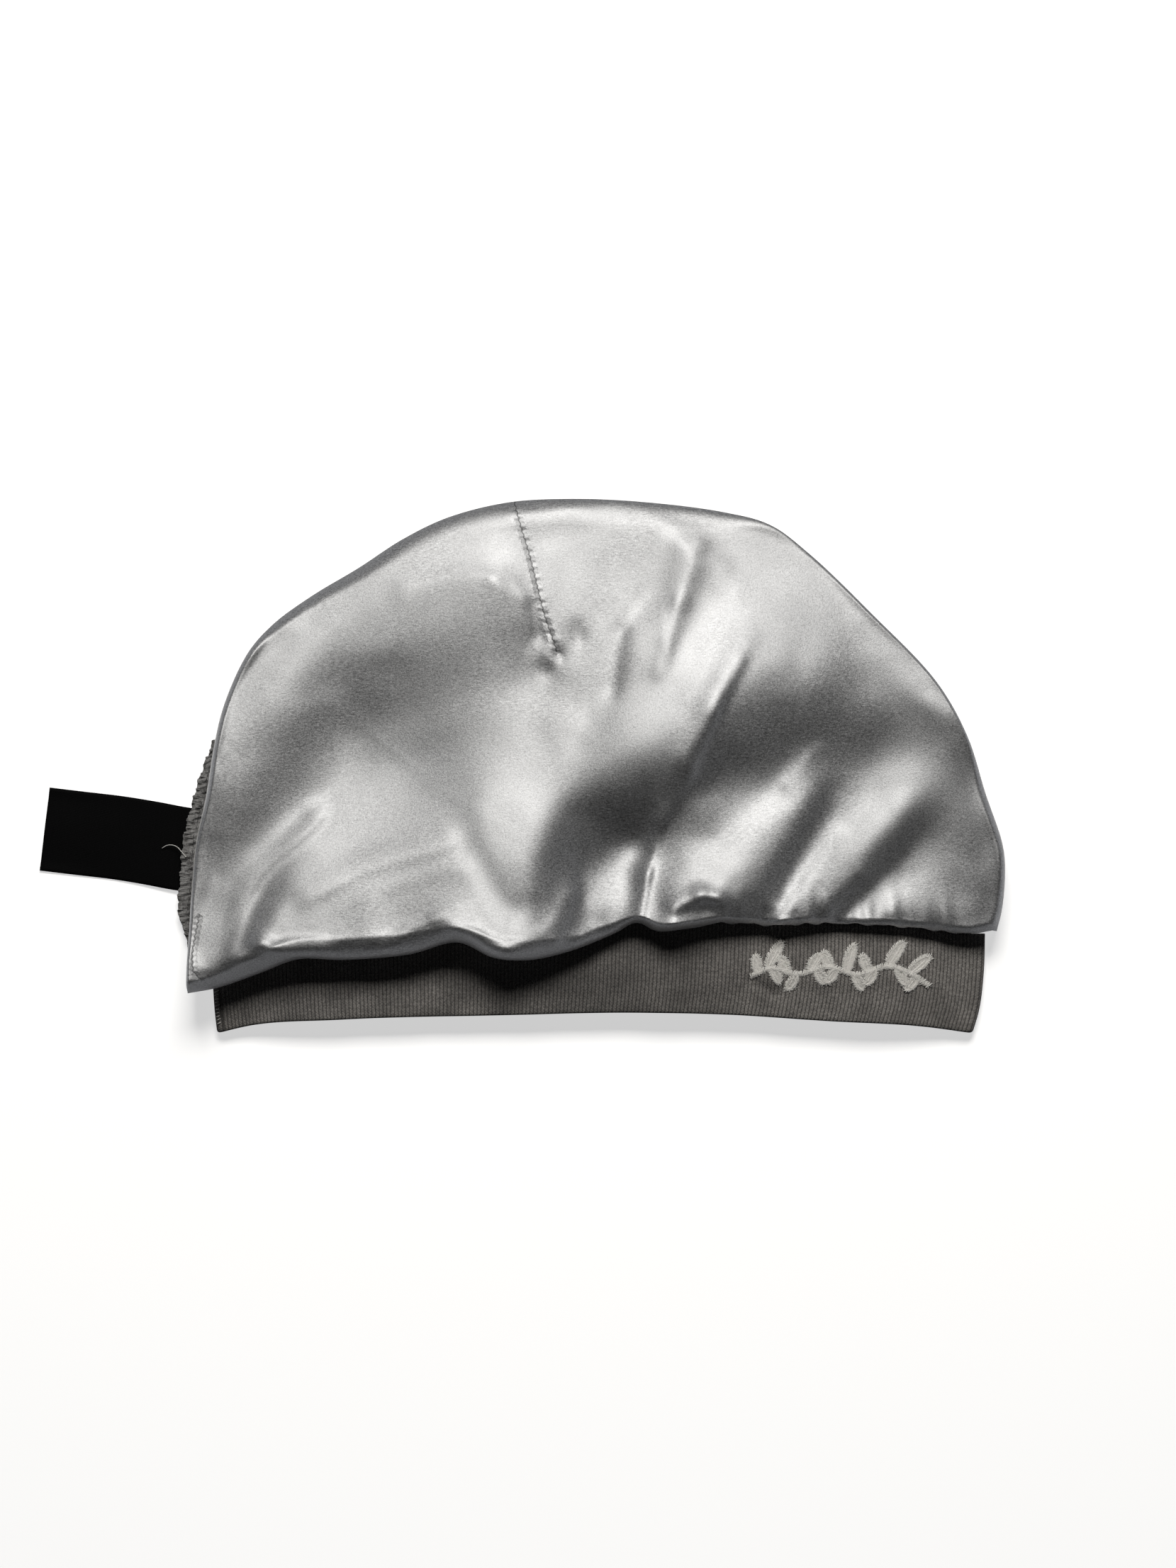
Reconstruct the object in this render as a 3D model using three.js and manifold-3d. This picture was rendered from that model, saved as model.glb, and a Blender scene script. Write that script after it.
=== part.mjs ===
// Satin-lined skull cap, turned lining side out and laid flat: millimetres, +Z up.
// X runs along the mouth, from the back seam (-X) to the forehead side (+X).
// Y runs from the mouth (-Y) to the top of the crown (+Y). The cap lies on z = 0.
import * as THREE from "three";
import { mergeVertices } from "three/addons/utils/BufferGeometryUtils.js";
import Module from "manifold-3d";

const wasm = await Module();
wasm.setup();

// ---------------------------------------------------------------- driving dimensions
const SATIN = 1.2; // wall of the lining
const JERSEY = 1.4; // wall of the knitted shell inside it
const LAYER_GAP = 0.4; // between lining and shell
const GAP = 0.4; // between pieces that meet end to end
const OVER_BAND = 0.8; // the slumped hem's underside clears the band by this
const BAND_WIDTH = 30; // seam to folded mouth edge
const BAND_WALL = 2.0; // two layers of jersey, folded at the mouth
const BAND_TOP = 11.4; // upper face of the band at mid width
const BAND_FLAT = 0.72; // share of the half width over which it is level
const BAND_END_TOP = 5.6; // upper face of the band where it folds over at each end
const LINING_EDGE = 8.6; // height of the lining just inside the rolled edge
const LINING_PUFF = 14.1; // what it rises further towards the middle
const PUFF_REACH = 27.7; // over what distance from the edge
const LEAST = 7.2; // the lining's upper side nowhere lies lower than this
const LEAST_SOFT = 1.2; // and eases into it over this height
const HEM_TURN = 1.2; // how sharply the hem turns up at its very edge
const ROLL = 4.4; // width of the shell's rolled edge, seen from above
const ROLL_UNDER = 4.5; // the same on the underside
const LABEL_WIDTH = 25.3;
const LABEL_THICK = 0.9;
const STRIP_THICK = 1.8;
const SPINE = { x0: -52, x1: 98, y: 0 }; // the middle line that the crown's sections fan out from
const SHELL_SLACK = 1.6; // the lining lies this loosely over the shell
const SHELL_SAG = 1.0; // and stands this much over it
const SHELL_SAG_THIN = 0.5; // the same where the cap is thin
const SHELL_RIM = 4.6; // height of the shell's own rim
const SHELL_MIDDLE = 14; // the shell is this share of the lining's width, about this x
const SHELL_SHARE = 0.93;
const SHELL_CLEAR = 0.3; // and ends this much further off the band
const SHELL_DROP = 0.6; // the shell's edge sits this much over the band's upper face before its layers are offset
const STRIP_LOW = 3.0; // underside of the seam allowance
const STRIP_STEPS = 22;
const LABEL_STEPS = 12;
const BAND_SPAN = 22; // stations along each layer of the band
const BAND_STEPS = [0, 10, 20, BAND_WIDTH - BAND_WALL / 2]; // stations from the seam to the fold
const MOUTH_LOW = 0.86; // the band's height at the mouth, as a share of its height at the seam
const THREAD_HIGH = 0.8; // how high the embroidery stands
const THREAD_GAP = 0.45;
const SPRIG_STEM = 1.6;
const SPRIG_STEPS = 20;
const LEAF_STEPS = 7;

// ---------------------------------------------------------------- tables
// The flat outline of the crown: from the low back corner up over the top and down to the forehead corner.
const OUTLINE = [
  { x: -99.4, y: -68.0, rim: 12.5, roll: 1.6 },
  { x: -99.3, y: -60.0, rim: 12.0, roll: 1.6 },
  { x: -98.8, y: -50.0, rim: 11.0, roll: 1.6 },
  { x: -98.2, y: -38.0, rim: 10.5, roll: 1.6 },
  { x: -96.9, y: -23.0, rim: 10.0, roll: 1.6 },
  { x: -94.0, y: -9.0, rim: 9.8, roll: 2.2 },
  { x: -91.5, y: 7.0, rim: 9.2, roll: 2.2 },
  { x: -88.6, y: 19.0, rim: 8.2, roll: 2.2 },
  { x: -81.7, y: 34.1, rim: 7.2, roll: 2.2 },
  { x: -74.3, y: 42.7, rim: 6.0, roll: 3.4 },
  { x: -62.8, y: 51.2, rim: 5.0, roll: 4.2 },
  { x: -48.7, y: 59.7, rim: 4.4, roll: 4.6 },
  { x: -35.7, y: 68.2, rim: 4.2, roll: 5.2 },
  { x: -22.1, y: 74.8, rim: 3.9, roll: 6.2 },
  { x: -4.0, y: 79.4, rim: 3.6, roll: 7.6 },
  { x: 14.0, y: 80.5, rim: 3.6, roll: 8.0 },
  { x: 35.3, y: 79.7, rim: 3.6, roll: 8.0 },
  { x: 60.9, y: 76.5, rim: 4.2, roll: 5.6 },
  { x: 75.0, y: 72.5, rim: 6.4, roll: 1.6 },
  { x: 86.4, y: 64.1, rim: 6.9, roll: 1.1 },
  { x: 105.5, y: 45.6, rim: 8.8, roll: 1.0 },
  { x: 124.7, y: 25.2, rim: 10.4, roll: 1.0 },
  { x: 134.0, y: 8.6, rim: 10.8, roll: 1.2 },
  { x: 139.6, y: -8.4, rim: 8.4, roll: 2.8 },
  { x: 144.6, y: -23.5, rim: 8.8, roll: 2.8 },
  { x: 145.3, y: -31.0, rim: 9.0, roll: 2.8 },
  { x: 144.5, y: -42.4, rim: 9.2, roll: 2.8 },
  { x: 142.8, y: -49.5, rim: 9.6, roll: 2.8 },
];

// The hem of the lining, which slumps over the band: from the forehead corner back to the low back corner.
const HEM = [
  { x: 142.8, y: -49.5, rim: 9.6, roll: 3.0 },
  { x: 134.3, y: -50.5, rim: 11.5, roll: 2.6 },
  { x: 116.4, y: -48.6, rim: 13.8, roll: 2.4 },
  { x: 92.3, y: -47.4, rim: 14.8, roll: 2.4 },
  { x: 76.4, y: -48.0, rim: 14.8, roll: 2.4 },
  { x: 60.0, y: -47.3, rim: 14.8, roll: 2.4 },
  { x: 50.0, y: -48.6, rim: 15.3, roll: 2.4 },
  { x: 41.0, y: -49.3, rim: 15.8, roll: 2.6 },
  { x: 34.8, y: -46.8, rim: 15.3, roll: 2.4 },
  { x: 28.3, y: -49.9, rim: 16.3, roll: 3.2 },
  { x: 15.5, y: -55.0, rim: 17.8, roll: 4.5 },
  { x: 2.8, y: -57.8, rim: 18.3, roll: 6.0 },
  { x: -7.9, y: -57.1, rim: 18.3, roll: 6.0 },
  { x: -18.3, y: -52.6, rim: 18.3, roll: 5.0 },
  { x: -32.8, y: -56.1, rim: 18.3, roll: 6.5 },
  { x: -52.3, y: -57.8, rim: 17.8, roll: 6.5 },
  { x: -66.0, y: -57.6, rim: 17.3, roll: 6.0 },
  { x: -77.4, y: -61.8, rim: 15.4, roll: 5.0 },
  { x: -90.0, y: -66.2, rim: 13.4, roll: 4.0 },
  { x: -99.4, y: -68.0, rim: 12.5, roll: 3.5 },
];

// Folds and dents of the lining's upper side: a ridge (rise > 0) or hollow (rise < 0) along a line from (x0, y0) to
// (x1, y1) that bows sideways by bend, with its own width on the left and on the right of that line.
const FOLDS = [
  { name: "ridge, back, upper", x0: -100.5, y0: -12.0, x1: -103.0, y1: 34.7, left: 32.2, right: 26.2, rise: 9.21, bend: -2.4 },
  { name: "ridge, back, low", x0: -100.5, y0: -67.0, x1: -91.7, y1: -68.2, left: 32.0, right: 28.1, rise: 8.33, bend: -1.3 },
  { name: "ridge, back, low 2", x0: -88.5, y0: -70.2, x1: -31.2, y1: -67.8, left: 27.1, right: 33.6, rise: 8.09, bend: 2.6 },
  { name: "ridge, mid back, low", x0: -15.5, y0: -63.3, x1: -1.7, y1: -61.4, left: 10.1, right: 22.7, rise: 9.09, bend: -1.4 },
  { name: "hollow, mid front, waist", x0: 80.7, y0: 0.9, x1: 103.0, y1: -3.2, left: 21.1, right: 21.7, rise: -7.36, bend: 0.8 },
  { name: "hollow, mid back, upper", x0: -36.7, y0: 2.8, x1: -39.7, y1: 9.9, left: 22.3, right: 26.7, rise: -6.33, bend: 0.0 },
  { name: "ridge, front, upper", x0: 134.8, y0: 14.8, x1: 135.2, y1: 14.2, left: 21.5, right: 14.3, rise: 6.98, bend: -0.0 },
  { name: "hollow, middle, top", x0: -0.2, y0: 31.3, x1: 63.0, y1: 58.9, left: 34.0, right: 23.4, rise: -4.90, bend: -7.5 },
  { name: "ridge, front, waist", x0: 148.9, y0: -40.9, x1: 143.3, y1: -18.0, left: 26.7, right: 3.0, rise: 5.40, bend: -4.9 },
  { name: "hollow, middle, top 2", x0: 6.2, y0: 84.8, x1: 27.3, y1: 82.2, left: 14.3, right: 6.1, rise: -6.20, bend: 5.7 },
  { name: "hollow, middle, waist", x0: 28.1, y0: -25.5, x1: 55.3, y1: -9.9, left: 12.9, right: 20.4, rise: -4.06, bend: -4.3 },
  { name: "hollow, back, low", x0: -90.6, y0: -63.6, x1: -91.1, y1: -60.0, left: 7.9, right: 20.6, rise: -4.17, bend: 0.3 },
  { name: "hollow, front, low", x0: 95.4, y0: -48.1, x1: 117.4, y1: -26.8, left: 7.1, right: 30.7, rise: -3.58, bend: 0.6 },
  { name: "ridge, mid back, low 2", x0: -41.6, y0: -59.7, x1: -7.6, y1: -59.0, left: 7.8, right: 12.1, rise: 4.45, bend: -7.1 },
  { name: "hollow, back, low 2", x0: -79.0, y0: -70.9, x1: -80.5, y1: -71.9, left: 13.2, right: 7.6, rise: -4.13, bend: -0.5 },
  { name: "hollow, middle, upper", x0: 28.5, y0: -35.9, x1: 17.3, y1: 54.2, left: 21.3, right: 17.4, rise: -2.99, bend: 11.2 },
  { name: "ridge, middle, low", x0: -30.9, y0: -35.1, x1: 45.1, y1: -55.2, left: 34.0, right: 16.0, rise: 2.62, bend: -22.7 },
  { name: "ridge, middle, waist", x0: 6.6, y0: -30.4, x1: 10.3, y1: -25.2, left: 14.8, right: 18.5, rise: 3.12, bend: 0.0 },
  { name: "hollow, back, waist", x0: -64.7, y0: -4.5, x1: -68.6, y1: -27.1, left: 34.0, right: 18.1, rise: -2.40, bend: 3.0 },
  { name: "hollow, back, low 3", x0: -78.8, y0: -39.0, x1: -81.3, y1: -61.0, left: 17.2, right: 14.8, rise: -2.88, bend: 6.4 },
  { name: "ridge, back, low 3", x0: -67.5, y0: -37.5, x1: -67.6, y1: -61.9, left: 15.0, right: 11.1, rise: 3.17, bend: -4.5 },
  { name: "ridge, mid front, upper", x0: 87.4, y0: 21.3, x1: 26.1, y1: -1.4, left: 28.4, right: 14.6, rise: 2.13, bend: -3.1 },
  { name: "ridge, back, top", x0: -80.9, y0: 40.7, x1: -63.2, y1: 52.4, left: 22.7, right: 6.7, rise: 2.46, bend: -1.9 },
  { name: "ridge, back, low 4", x0: -63.2, y0: -60.3, x1: -59.4, y1: -58.8, left: 6.9, right: 8.4, rise: 3.32, bend: 0.2 },
  { name: "ridge, front, upper 2", x0: 95.3, y0: 62.1, x1: 148.8, y1: -30.6, left: 28.4, right: 4.0, rise: 2.23, bend: 11.6 },
  { name: "ridge, front, upper 3", x0: 124.2, y0: 29.9, x1: 117.7, y1: 41.9, left: 14.0, right: 9.4, rise: 2.38, bend: -0.0 },
  { name: "hollow, mid front, low", x0: 53.1, y0: -60.4, x1: 91.6, y1: -17.2, left: 7.2, right: 12.0, rise: -2.52, bend: -2.7 },
  { name: "ridge, back, waist", x0: -88.3, y0: 4.4, x1: -88.6, y1: 4.8, left: 16.6, right: 10.3, rise: 2.01, bend: 0.1 },
  { name: "hollow, mid front, waist 2", x0: 87.1, y0: -27.0, x1: 112.1, y1: -33.8, left: 9.7, right: 18.3, rise: -1.83, bend: -2.3 },
  { name: "ridge, back, low 5", x0: -70.7, y0: -57.5, x1: -86.1, y1: -49.9, left: 12.7, right: 13.8, rise: 1.82, bend: -5.2 },
  { name: "ridge, back, low 6", x0: -99.1, y0: -61.1, x1: -83.3, y1: -34.7, left: 11.5, right: 9.2, rise: 1.99, bend: 6.0 },
  { name: "hollow, mid back, top", x0: -27.3, y0: 66.0, x1: 15.4, y1: 83.6, left: 7.6, right: 28.4, rise: -1.45, bend: -2.0 },
  { name: "hollow, back, top", x0: -66.8, y0: 46.4, x1: -59.0, y1: 52.2, left: 15.0, right: 6.6, rise: -1.87, bend: 0.3 },
  { name: "ridge, middle, top", x0: 13.4, y0: 54.6, x1: -3.5, y1: 48.7, left: 21.5, right: 12.0, rise: 1.39, bend: 5.4 },
  { name: "ridge, mid front, low", x0: 111.3, y0: -44.5, x1: 42.9, y1: -50.9, left: 9.2, right: 5.8, rise: 2.02, bend: 20.1 },
  { name: "ridge, mid back, low 3", x0: -13.8, y0: -62.2, x1: 4.4, y1: -64.4, left: 4.0, right: 11.0, rise: 1.93, bend: 4.6 },
];

// The mouth edge of the band, seen from above.
const MOUTH_EDGE = [
  { x: -91.5, y: -80.5 },
  { x: -82.0, y: -78.2 },
  { x: -54.0, y: -76.1 },
  { x: -7.0, y: -74.8 },
  { x: 35.0, y: -74.0 },
  { x: 60.0, y: -74.5 },
  { x: 92.0, y: -76.5 },
  { x: 120.0, y: -78.2 },
  { x: 136.2, y: -80.5 },
];
// How far the band's two folded ends lean in towards the mouth edge.
const BAND_ENDS = [
  { from_seam: 0, back: -93.0, front: 140.0 },
  { from_seam: 12, back: -92.9, front: 139.6 },
  { from_seam: 24, back: -92.2, front: 138.0 },
  { from_seam: 30, back: -91.5, front: 136.2 },
];
// The serged allowance of the back seam: how far it stands out of the crown's edge.
const BACK_SEAM = [
  { y: 8.0, out: 0.9 },
  { y: 2.0, out: 2.2 },
  { y: -6.0, out: 3.8 },
  { y: -14.0, out: 4.4 },
  { y: -24.0, out: 4.6 },
  { y: -34.0, out: 4.4 },
  { y: -42.0, out: 4.6 },
  { y: -46.0, out: 3.9 },
  { y: -50.0, out: 2.2 },
  { y: -55.0, out: 0.9 },
];
// The care label: its centre line from under the seam allowance to the free end, and the height of its underside.
const LABEL = [
  { x: -98.2, y: -25.6, z: 1.4 },
  { x: -104.0, y: -24.7, z: 1.1 },
  { x: -112.0, y: -23.2, z: 0.5 },
  { x: -122.0, y: -21.6, z: 0.1 },
  { x: -133.0, y: -20.3, z: 0.0 },
  { x: -143.8, y: -19.0, z: 0.0 },
];

// The sprig's stem, on the band at the forehead end, and its leaves.
const SPRIG = [
  { x: 69.0, y: -63.2 },
  { x: 75.0, y: -60.6 },
  { x: 83.0, y: -62.4 },
  { x: 92.0, y: -60.2 },
  { x: 101.0, y: -62.6 },
  { x: 110.0, y: -60.0 },
  { x: 117.0, y: -62.4 },
  { x: 122.6, y: -66.0 },
];
const LEAVES = [
  { at: 0.05, turn: 100, long: 5.2, wide: 3.0 },
  { at: 0.1, turn: 62, long: 9.0, wide: 3.4 },
  { at: 0.12, turn: -60, long: 5.2, wide: 3.0 },
  { at: 0.22, turn: 118, long: 5.6, wide: 3.2 },
  { at: 0.25, turn: -118, long: 5.2, wide: 3.0 },
  { at: 0.33, turn: 60, long: 5.8, wide: 3.2 },
  { at: 0.36, turn: -58, long: 5.0, wide: 3.0 },
  { at: 0.45, turn: 120, long: 5.6, wide: 3.2 },
  { at: 0.47, turn: -122, long: 5.0, wide: 3.0 },
  { at: 0.53, turn: 75, long: 8.8, wide: 3.4 },
  { at: 0.57, turn: -60, long: 5.2, wide: 3.0 },
  { at: 0.66, turn: 118, long: 5.6, wide: 3.2 },
  { at: 0.68, turn: -120, long: 5.0, wide: 3.0 },
  { at: 0.76, turn: 58, long: 8.6, wide: 3.8 },
  { at: 0.8, turn: -62, long: 5.6, wide: 3.2 },
  { at: 0.88, turn: 40, long: 8.0, wide: 3.6 },
  { at: 0.92, turn: -130, long: 5.0, wide: 3.0 },
];

// ---------------------------------------------------------------- helpers
const lerp = THREE.MathUtils.lerp;
const clamp = THREE.MathUtils.clamp;
const smooth = THREE.MathUtils.smoothstep;

// A table's column as a smooth function of another column.
function curveOf(rows, key, value) {
  const up = rows[0][key] <= rows[rows.length - 1][key];
  const t = up ? rows : [...rows].reverse();
  return (k) => {
    if (k <= t[0][key]) return t[0][value];
    if (k >= t[t.length - 1][key]) return t[t.length - 1][value];
    let i = 0;
    while (t[i + 1][key] < k) i++;
    const p = t[Math.max(0, i - 1)],
      a = t[i],
      b = t[i + 1],
      q = t[Math.min(t.length - 1, i + 2)];
    const h = b[key] - a[key],
      u = (k - a[key]) / h;
    const ma = ((b[value] - p[value]) / (b[key] - p[key] || 1)) * h,
      mb = ((q[value] - a[value]) / (q[key] - a[key] || 1)) * h;
    const u2 = u * u,
      u3 = u2 * u;
    return (
      (2 * u3 - 3 * u2 + 1) * a[value] +
      (u3 - 2 * u2 + u) * ma +
      (-2 * u3 + 3 * u2) * b[value] +
      (u3 - u2) * mb
    );
  };
}
const mouthEdge = curveOf(MOUTH_EDGE, "x", "y");
const seamLine = (x) => mouthEdge(clamp(x, -92, 138)) + BAND_WIDTH;
const bandBack = curveOf(BAND_ENDS, "from_seam", "back");
const bandFront = curveOf(BAND_ENDS, "from_seam", "front");

// Height of the band's upper face: raised in the middle, where the hollow is, and low at both folded ends.
function bandTop(x) {
  const s = Math.abs((2 * (x - bandBack(0))) / (bandFront(0) - bandBack(0)) - 1);
  return lerp(BAND_END_TOP, BAND_TOP, 1 - smooth(s, BAND_FLAT, 1.0) ** 1.2);
}

// A table of x, y, rim as a smooth run of points.
function runOf(rows, count) {
  const curve = new THREE.CatmullRomCurve3(
    rows.map((r) => new THREE.Vector3(r.x, r.y, r.rim)),
    false,
    "centripetal",
  );
  return curve.getSpacedPoints(count);
}
const edgeRun = runOf(OUTLINE, 160);
const hemRun = runOf(HEM, 100);

// Distance from a point on the plan to a run, and how far along the run that is, from 0 to 1.
function nearest(run, x, y) {
  let best = Infinity,
    along = 0;
  for (let i = 0; i + 1 < run.length; i++) {
    const a = run[i],
      b = run[i + 1];
    const dx = b.x - a.x,
      dy = b.y - a.y;
    const t = clamp(((x - a.x) * dx + (y - a.y) * dy) / (dx * dx + dy * dy), 0, 1);
    const d = Math.hypot(x - a.x - t * dx, y - a.y - t * dy);
    if (d < best) {
      best = d;
      along = (i + t) / (run.length - 1);
    }
  }
  return { d: best, along };
}
const toEdge = (x, y) => nearest(edgeRun, x, y).d;

// How wide the rolled edge is, along a table's run: the hem is a soft roll where it slumps and tight where gathered.
function rollAlong(rows) {
  const s = [0];
  for (let i = 1; i < rows.length; i++)
    s.push(s[i - 1] + Math.hypot(rows[i].x - rows[i - 1].x, rows[i].y - rows[i - 1].y));
  return curveOf(rows.map((r, i) => ({ at: s[i] / s[s.length - 1], roll: r.roll })), "at", "roll");
}
const edgeRoll = rollAlong(OUTLINE),
  hemRoll = rollAlong(HEM);
const roundEdge = (d, roll) => Math.sqrt(1 - (1 - clamp(d / roll, 0, 1)) ** 2);

// How much of the puff is left near an edge: the outline rolls over, the hem turns up sharply and leans to its crest.
function edgeShare(x, y) {
  const e = nearest(edgeRun, x, y),
    h = nearest(hemRun, x, y);
  const t = clamp(h.d / hemRoll(h.along), 0, 1);
  return roundEdge(e.d, edgeRoll(e.along)) * (0.3 * roundEdge(h.d, HEM_TURN) + 0.7 * t * (1.5 - 0.5 * t));
}
// The back edge of the crown at a height y on the plan.
function outlineX(y) {
  for (let i = 0; i + 1 < edgeRun.length; i++) {
    const a = edgeRun[i],
      b = edgeRun[i + 1];
    if (a.x < 0 && (a.y - y) * (b.y - y) <= 0) return lerp(a.x, b.x, (y - a.y) / (b.y - a.y || 1));
  }
  return edgeRun[0].x;
}

// One fold: a ridge or a hollow along a bowed line, with a softer and a sharper flank.
function foldHeight(f, x, y) {
  const dx = f.x1 - f.x0,
    dy = f.y1 - f.y0,
    length = Math.hypot(dx, dy);
  const t = clamp(((x - f.x0) * dx + (y - f.y0) * dy) / length ** 2, 0, 1);
  const bow = (f.bend * Math.sin(Math.PI * t) ** 2) / length;
  const ox = x - f.x0 - t * dx + dy * bow,
    oy = y - f.y0 - t * dy - dx * bow;
  const d = Math.hypot(ox, oy) + 1e-6;
  const side = (oy * dx - ox * dy) / length / d; // 1 on the left of the line, -1 on its right
  return f.rise * Math.exp(-((d / lerp(f.left, f.right, 0.5 - 0.5 * side)) ** 2));
}

// Height of the lining's upper side away from its rolled edge. The shell under it doesn't follow its narrow ridges.
function liningHeight(x, y, widestLost = 0) {
  let z = LINING_EDGE + LINING_PUFF * (1 - Math.exp(-toEdge(x, y) / PUFF_REACH));
  for (const f of FOLDS)
    if (f.rise < 0 || Math.min(f.left, f.right) >= widestLost) z += foldHeight(f, x, y);
  return LEAST + LEAST_SOFT * Math.log1p(Math.exp((z - LEAST) / LEAST_SOFT));
}

// One closed mesh from vertices and quads or triangles, with its faces pointing out and its own material.
function meshOf(name, points, faces, look) {
  let volume = 0;
  const tri = (a, b, c) =>
    (volume +=
      a.x * (b.y * c.z - b.z * c.y) + a.y * (b.z * c.x - b.x * c.z) + a.z * (b.x * c.y - b.y * c.x));
  for (const f of faces)
    for (let k = 1; k + 1 < f.length; k++) tri(points[f[0]], points[f[k]], points[f[k + 1]]);
  if (volume < 0) faces = faces.map((f) => [...f].reverse());
  const g = new THREE.BufferGeometry();
  const flat = new Float32Array(points.length * 3);
  points.forEach((p, i) => flat.set([p.x, p.y, p.z], i * 3));
  const index = [];
  for (const f of faces) {
    index.push(f[0], f[1], f[2]);
    if (f.length === 4) index.push(f[0], f[2], f[3]);
  }
  g.setAttribute("position", new THREE.BufferAttribute(flat, 3));
  g.setIndex(index);
  g.computeVertexNormals();
  const m = new THREE.Mesh(g, new THREE.MeshStandardMaterial(look));
  m.name = name;
  return m;
}

// ---------------------------------------------------------------- the bag: lining and shell
// The bag is a pillow of rings round a short spine in its middle: over the upper side to the rim, under it, and back
// to the spine on the underside. Where the band leaves it, the ring of faces between the upper and the lower seam line
// is left open.
function bagColumns(n) {
  const spine = (k) => ({ x: lerp(SPINE.x0, SPINE.x1, k / n.hem), y: SPINE.y });
  const edge = runOf(OUTLINE, n.back + n.hem + n.front);
  const hem = runOf(HEM, n.hem);
  const columns = [];
  edge.forEach((p, i) => columns.push({ p, k: clamp(i - n.back, 0, n.hem) }));
  hem.slice(1, -1).forEach((p, i) => columns.push({ p, k: n.hem - 1 - i }));
  return columns.map(({ p, k }) => {
    const s = spine(k),
      dx = p.x - s.x,
      dy = p.y - s.y,
      reach = Math.hypot(dx, dy);
    const at = (r) => ({ x: s.x + (dx * r) / reach, y: s.y + (dy * r) / reach });
    let seam = null; // where this column meets the band's seam line
    const past = (r) => at(r).y < seamLine(at(r).x) + GAP;
    if (dy < 0 && past(reach)) {
      let lo = 0,
        hi = reach;
      for (let i = 0; i < 40; i++) {
        const mid = (lo + hi) / 2;
        if (past(mid)) hi = mid;
        else lo = mid;
      }
      if (at(hi).x > bandBack(0) - 0.8 && at(hi).x < bandFront(0) + 0.8) seam = hi;
    }
    return { at, k, reach, seam, rimZ: p.z };
  });
}

// Where the rim stands higher, it rolls under further.
const rollUnder = (rimZ) => Math.max(ROLL_UNDER, 0.7 * rimZ);

const liningTop = (x, y, rimZ) => lerp(rimZ, liningHeight(x, y), edgeShare(x, y));

// The lining hangs over the band: its hem rolls under and runs back to the seam line.
function liningPoint(column, ring, rings) {
  const { at, reach, seam, rimZ } = column;
  if (ring <= rings.top) {
    const p = at(reach * Math.sin((ring / rings.top) * Math.PI * 0.5));
    return { ...p, z: liningTop(p.x, p.y, rimZ) };
  }
  const u = ring - rings.top;
  if (u <= rings.under) {
    const a = (Math.PI / 2) * Math.min(1, u / (rings.under - 1));
    if (seam !== null) {
      const wide = Math.min(ROLL_UNDER, 0.6 * (reach - seam));
      const q = u === rings.under ? at(seam) : at(reach - wide * (1 - Math.cos(a)));
      const low = Math.min(bandTop(q.x) + OVER_BAND, rimZ - 0.6);
      return { ...q, z: lerp(rimZ, low, Math.sin(a)) };
    }
    const r = reach - rollUnder(rimZ) * (1 - Math.cos(a)) - (u === rings.under ? 1.5 : 0);
    return { ...at(r), z: lerp(rimZ, 0, Math.sin(a)) };
  }
  const from = seam !== null ? seam : reach - rollUnder(rimZ) - 2.5;
  return { ...at(from * (1 - (u - rings.under - 1) / rings.low)), z: 0 };
}

// The shell inside it ends at the seam line, and runs down to the band's two layers there. It is a little smaller.
function shellPoint(column, ring, rings) {
  const { reach, seam, rimZ } = column;
  const at = (r) => {
    const q = column.at(r),
      x = lerp(SHELL_MIDDLE, q.x, SHELL_SHARE);
    // Being narrower, it meets the seam line further in, where that may run higher.
    const lift = Math.max(0, seamLine(x) - seamLine(q.x)) + SHELL_CLEAR;
    return { x, y: q.y + lift * (1 - smooth(q.y - seamLine(q.x), 0, 24)) };
  };
  const end = seam !== null ? seam : reach - SHELL_SLACK;
  if (ring <= rings.top) {
    const r = end * Math.sin((ring / rings.top) * Math.PI * 0.5),
      p = at(r),
      cover = Math.min(liningHeight(p.x, p.y, 9), liningTop(p.x, p.y, rimZ) + 0.6),
      h = cover - lerp(SHELL_SAG_THIN, SHELL_SAG, smooth(cover, 8, 12));
    if (seam !== null) return { ...p, z: lerp(bandTop(p.x) + SHELL_DROP, h, smooth(end - r, 0, 14)) };
    return { ...p, z: lerp(Math.min(rimZ, SHELL_RIM), h, roundEdge(end - r, ROLL)) };
  }
  const u = ring - rings.top;
  if (u <= rings.under) {
    const a = (Math.PI / 2) * Math.min(1, u / (rings.under - 1));
    if (seam !== null) {
      const q = at(end);
      return { ...q, z: bandTop(q.x) + SHELL_DROP - 0.1 * u };
    }
    const r = end - ROLL_UNDER * (1 - Math.cos(a)) - (u === rings.under ? 1.5 : 0);
    return { ...at(r), z: lerp(Math.min(rimZ, SHELL_RIM), 0, Math.sin(a)) };
  }
  const from = seam !== null ? seam : end - ROLL_UNDER - 2.5;
  return { ...at(from * (1 - (u - rings.under - 1) / rings.low)), z: 0 };
}

// Outward normals of a grid of rings, from its neighbours.
function gridNormals(grid, columns) {
  const rows = grid.length,
    cols = columns.length;
  const v = (p) => new THREE.Vector3(p.x, p.y, p.z);
  return grid.map((row, r) =>
    row.map((p, c) => {
      if (r === 0 || r === rows - 1) return new THREE.Vector3(0, 0, r === 0 ? 1 : -1);
      const e = v(row[(c + 1) % cols]).sub(v(row[(c + cols - 1) % cols]));
      const s = v(grid[r + 1][c]).sub(v(grid[r - 1][c]));
      const n = e.cross(s);
      return n.lengthSq() > 1e-9 ? n.normalize() : new THREE.Vector3(0, 0, 1);
    }),
  );
}

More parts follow.
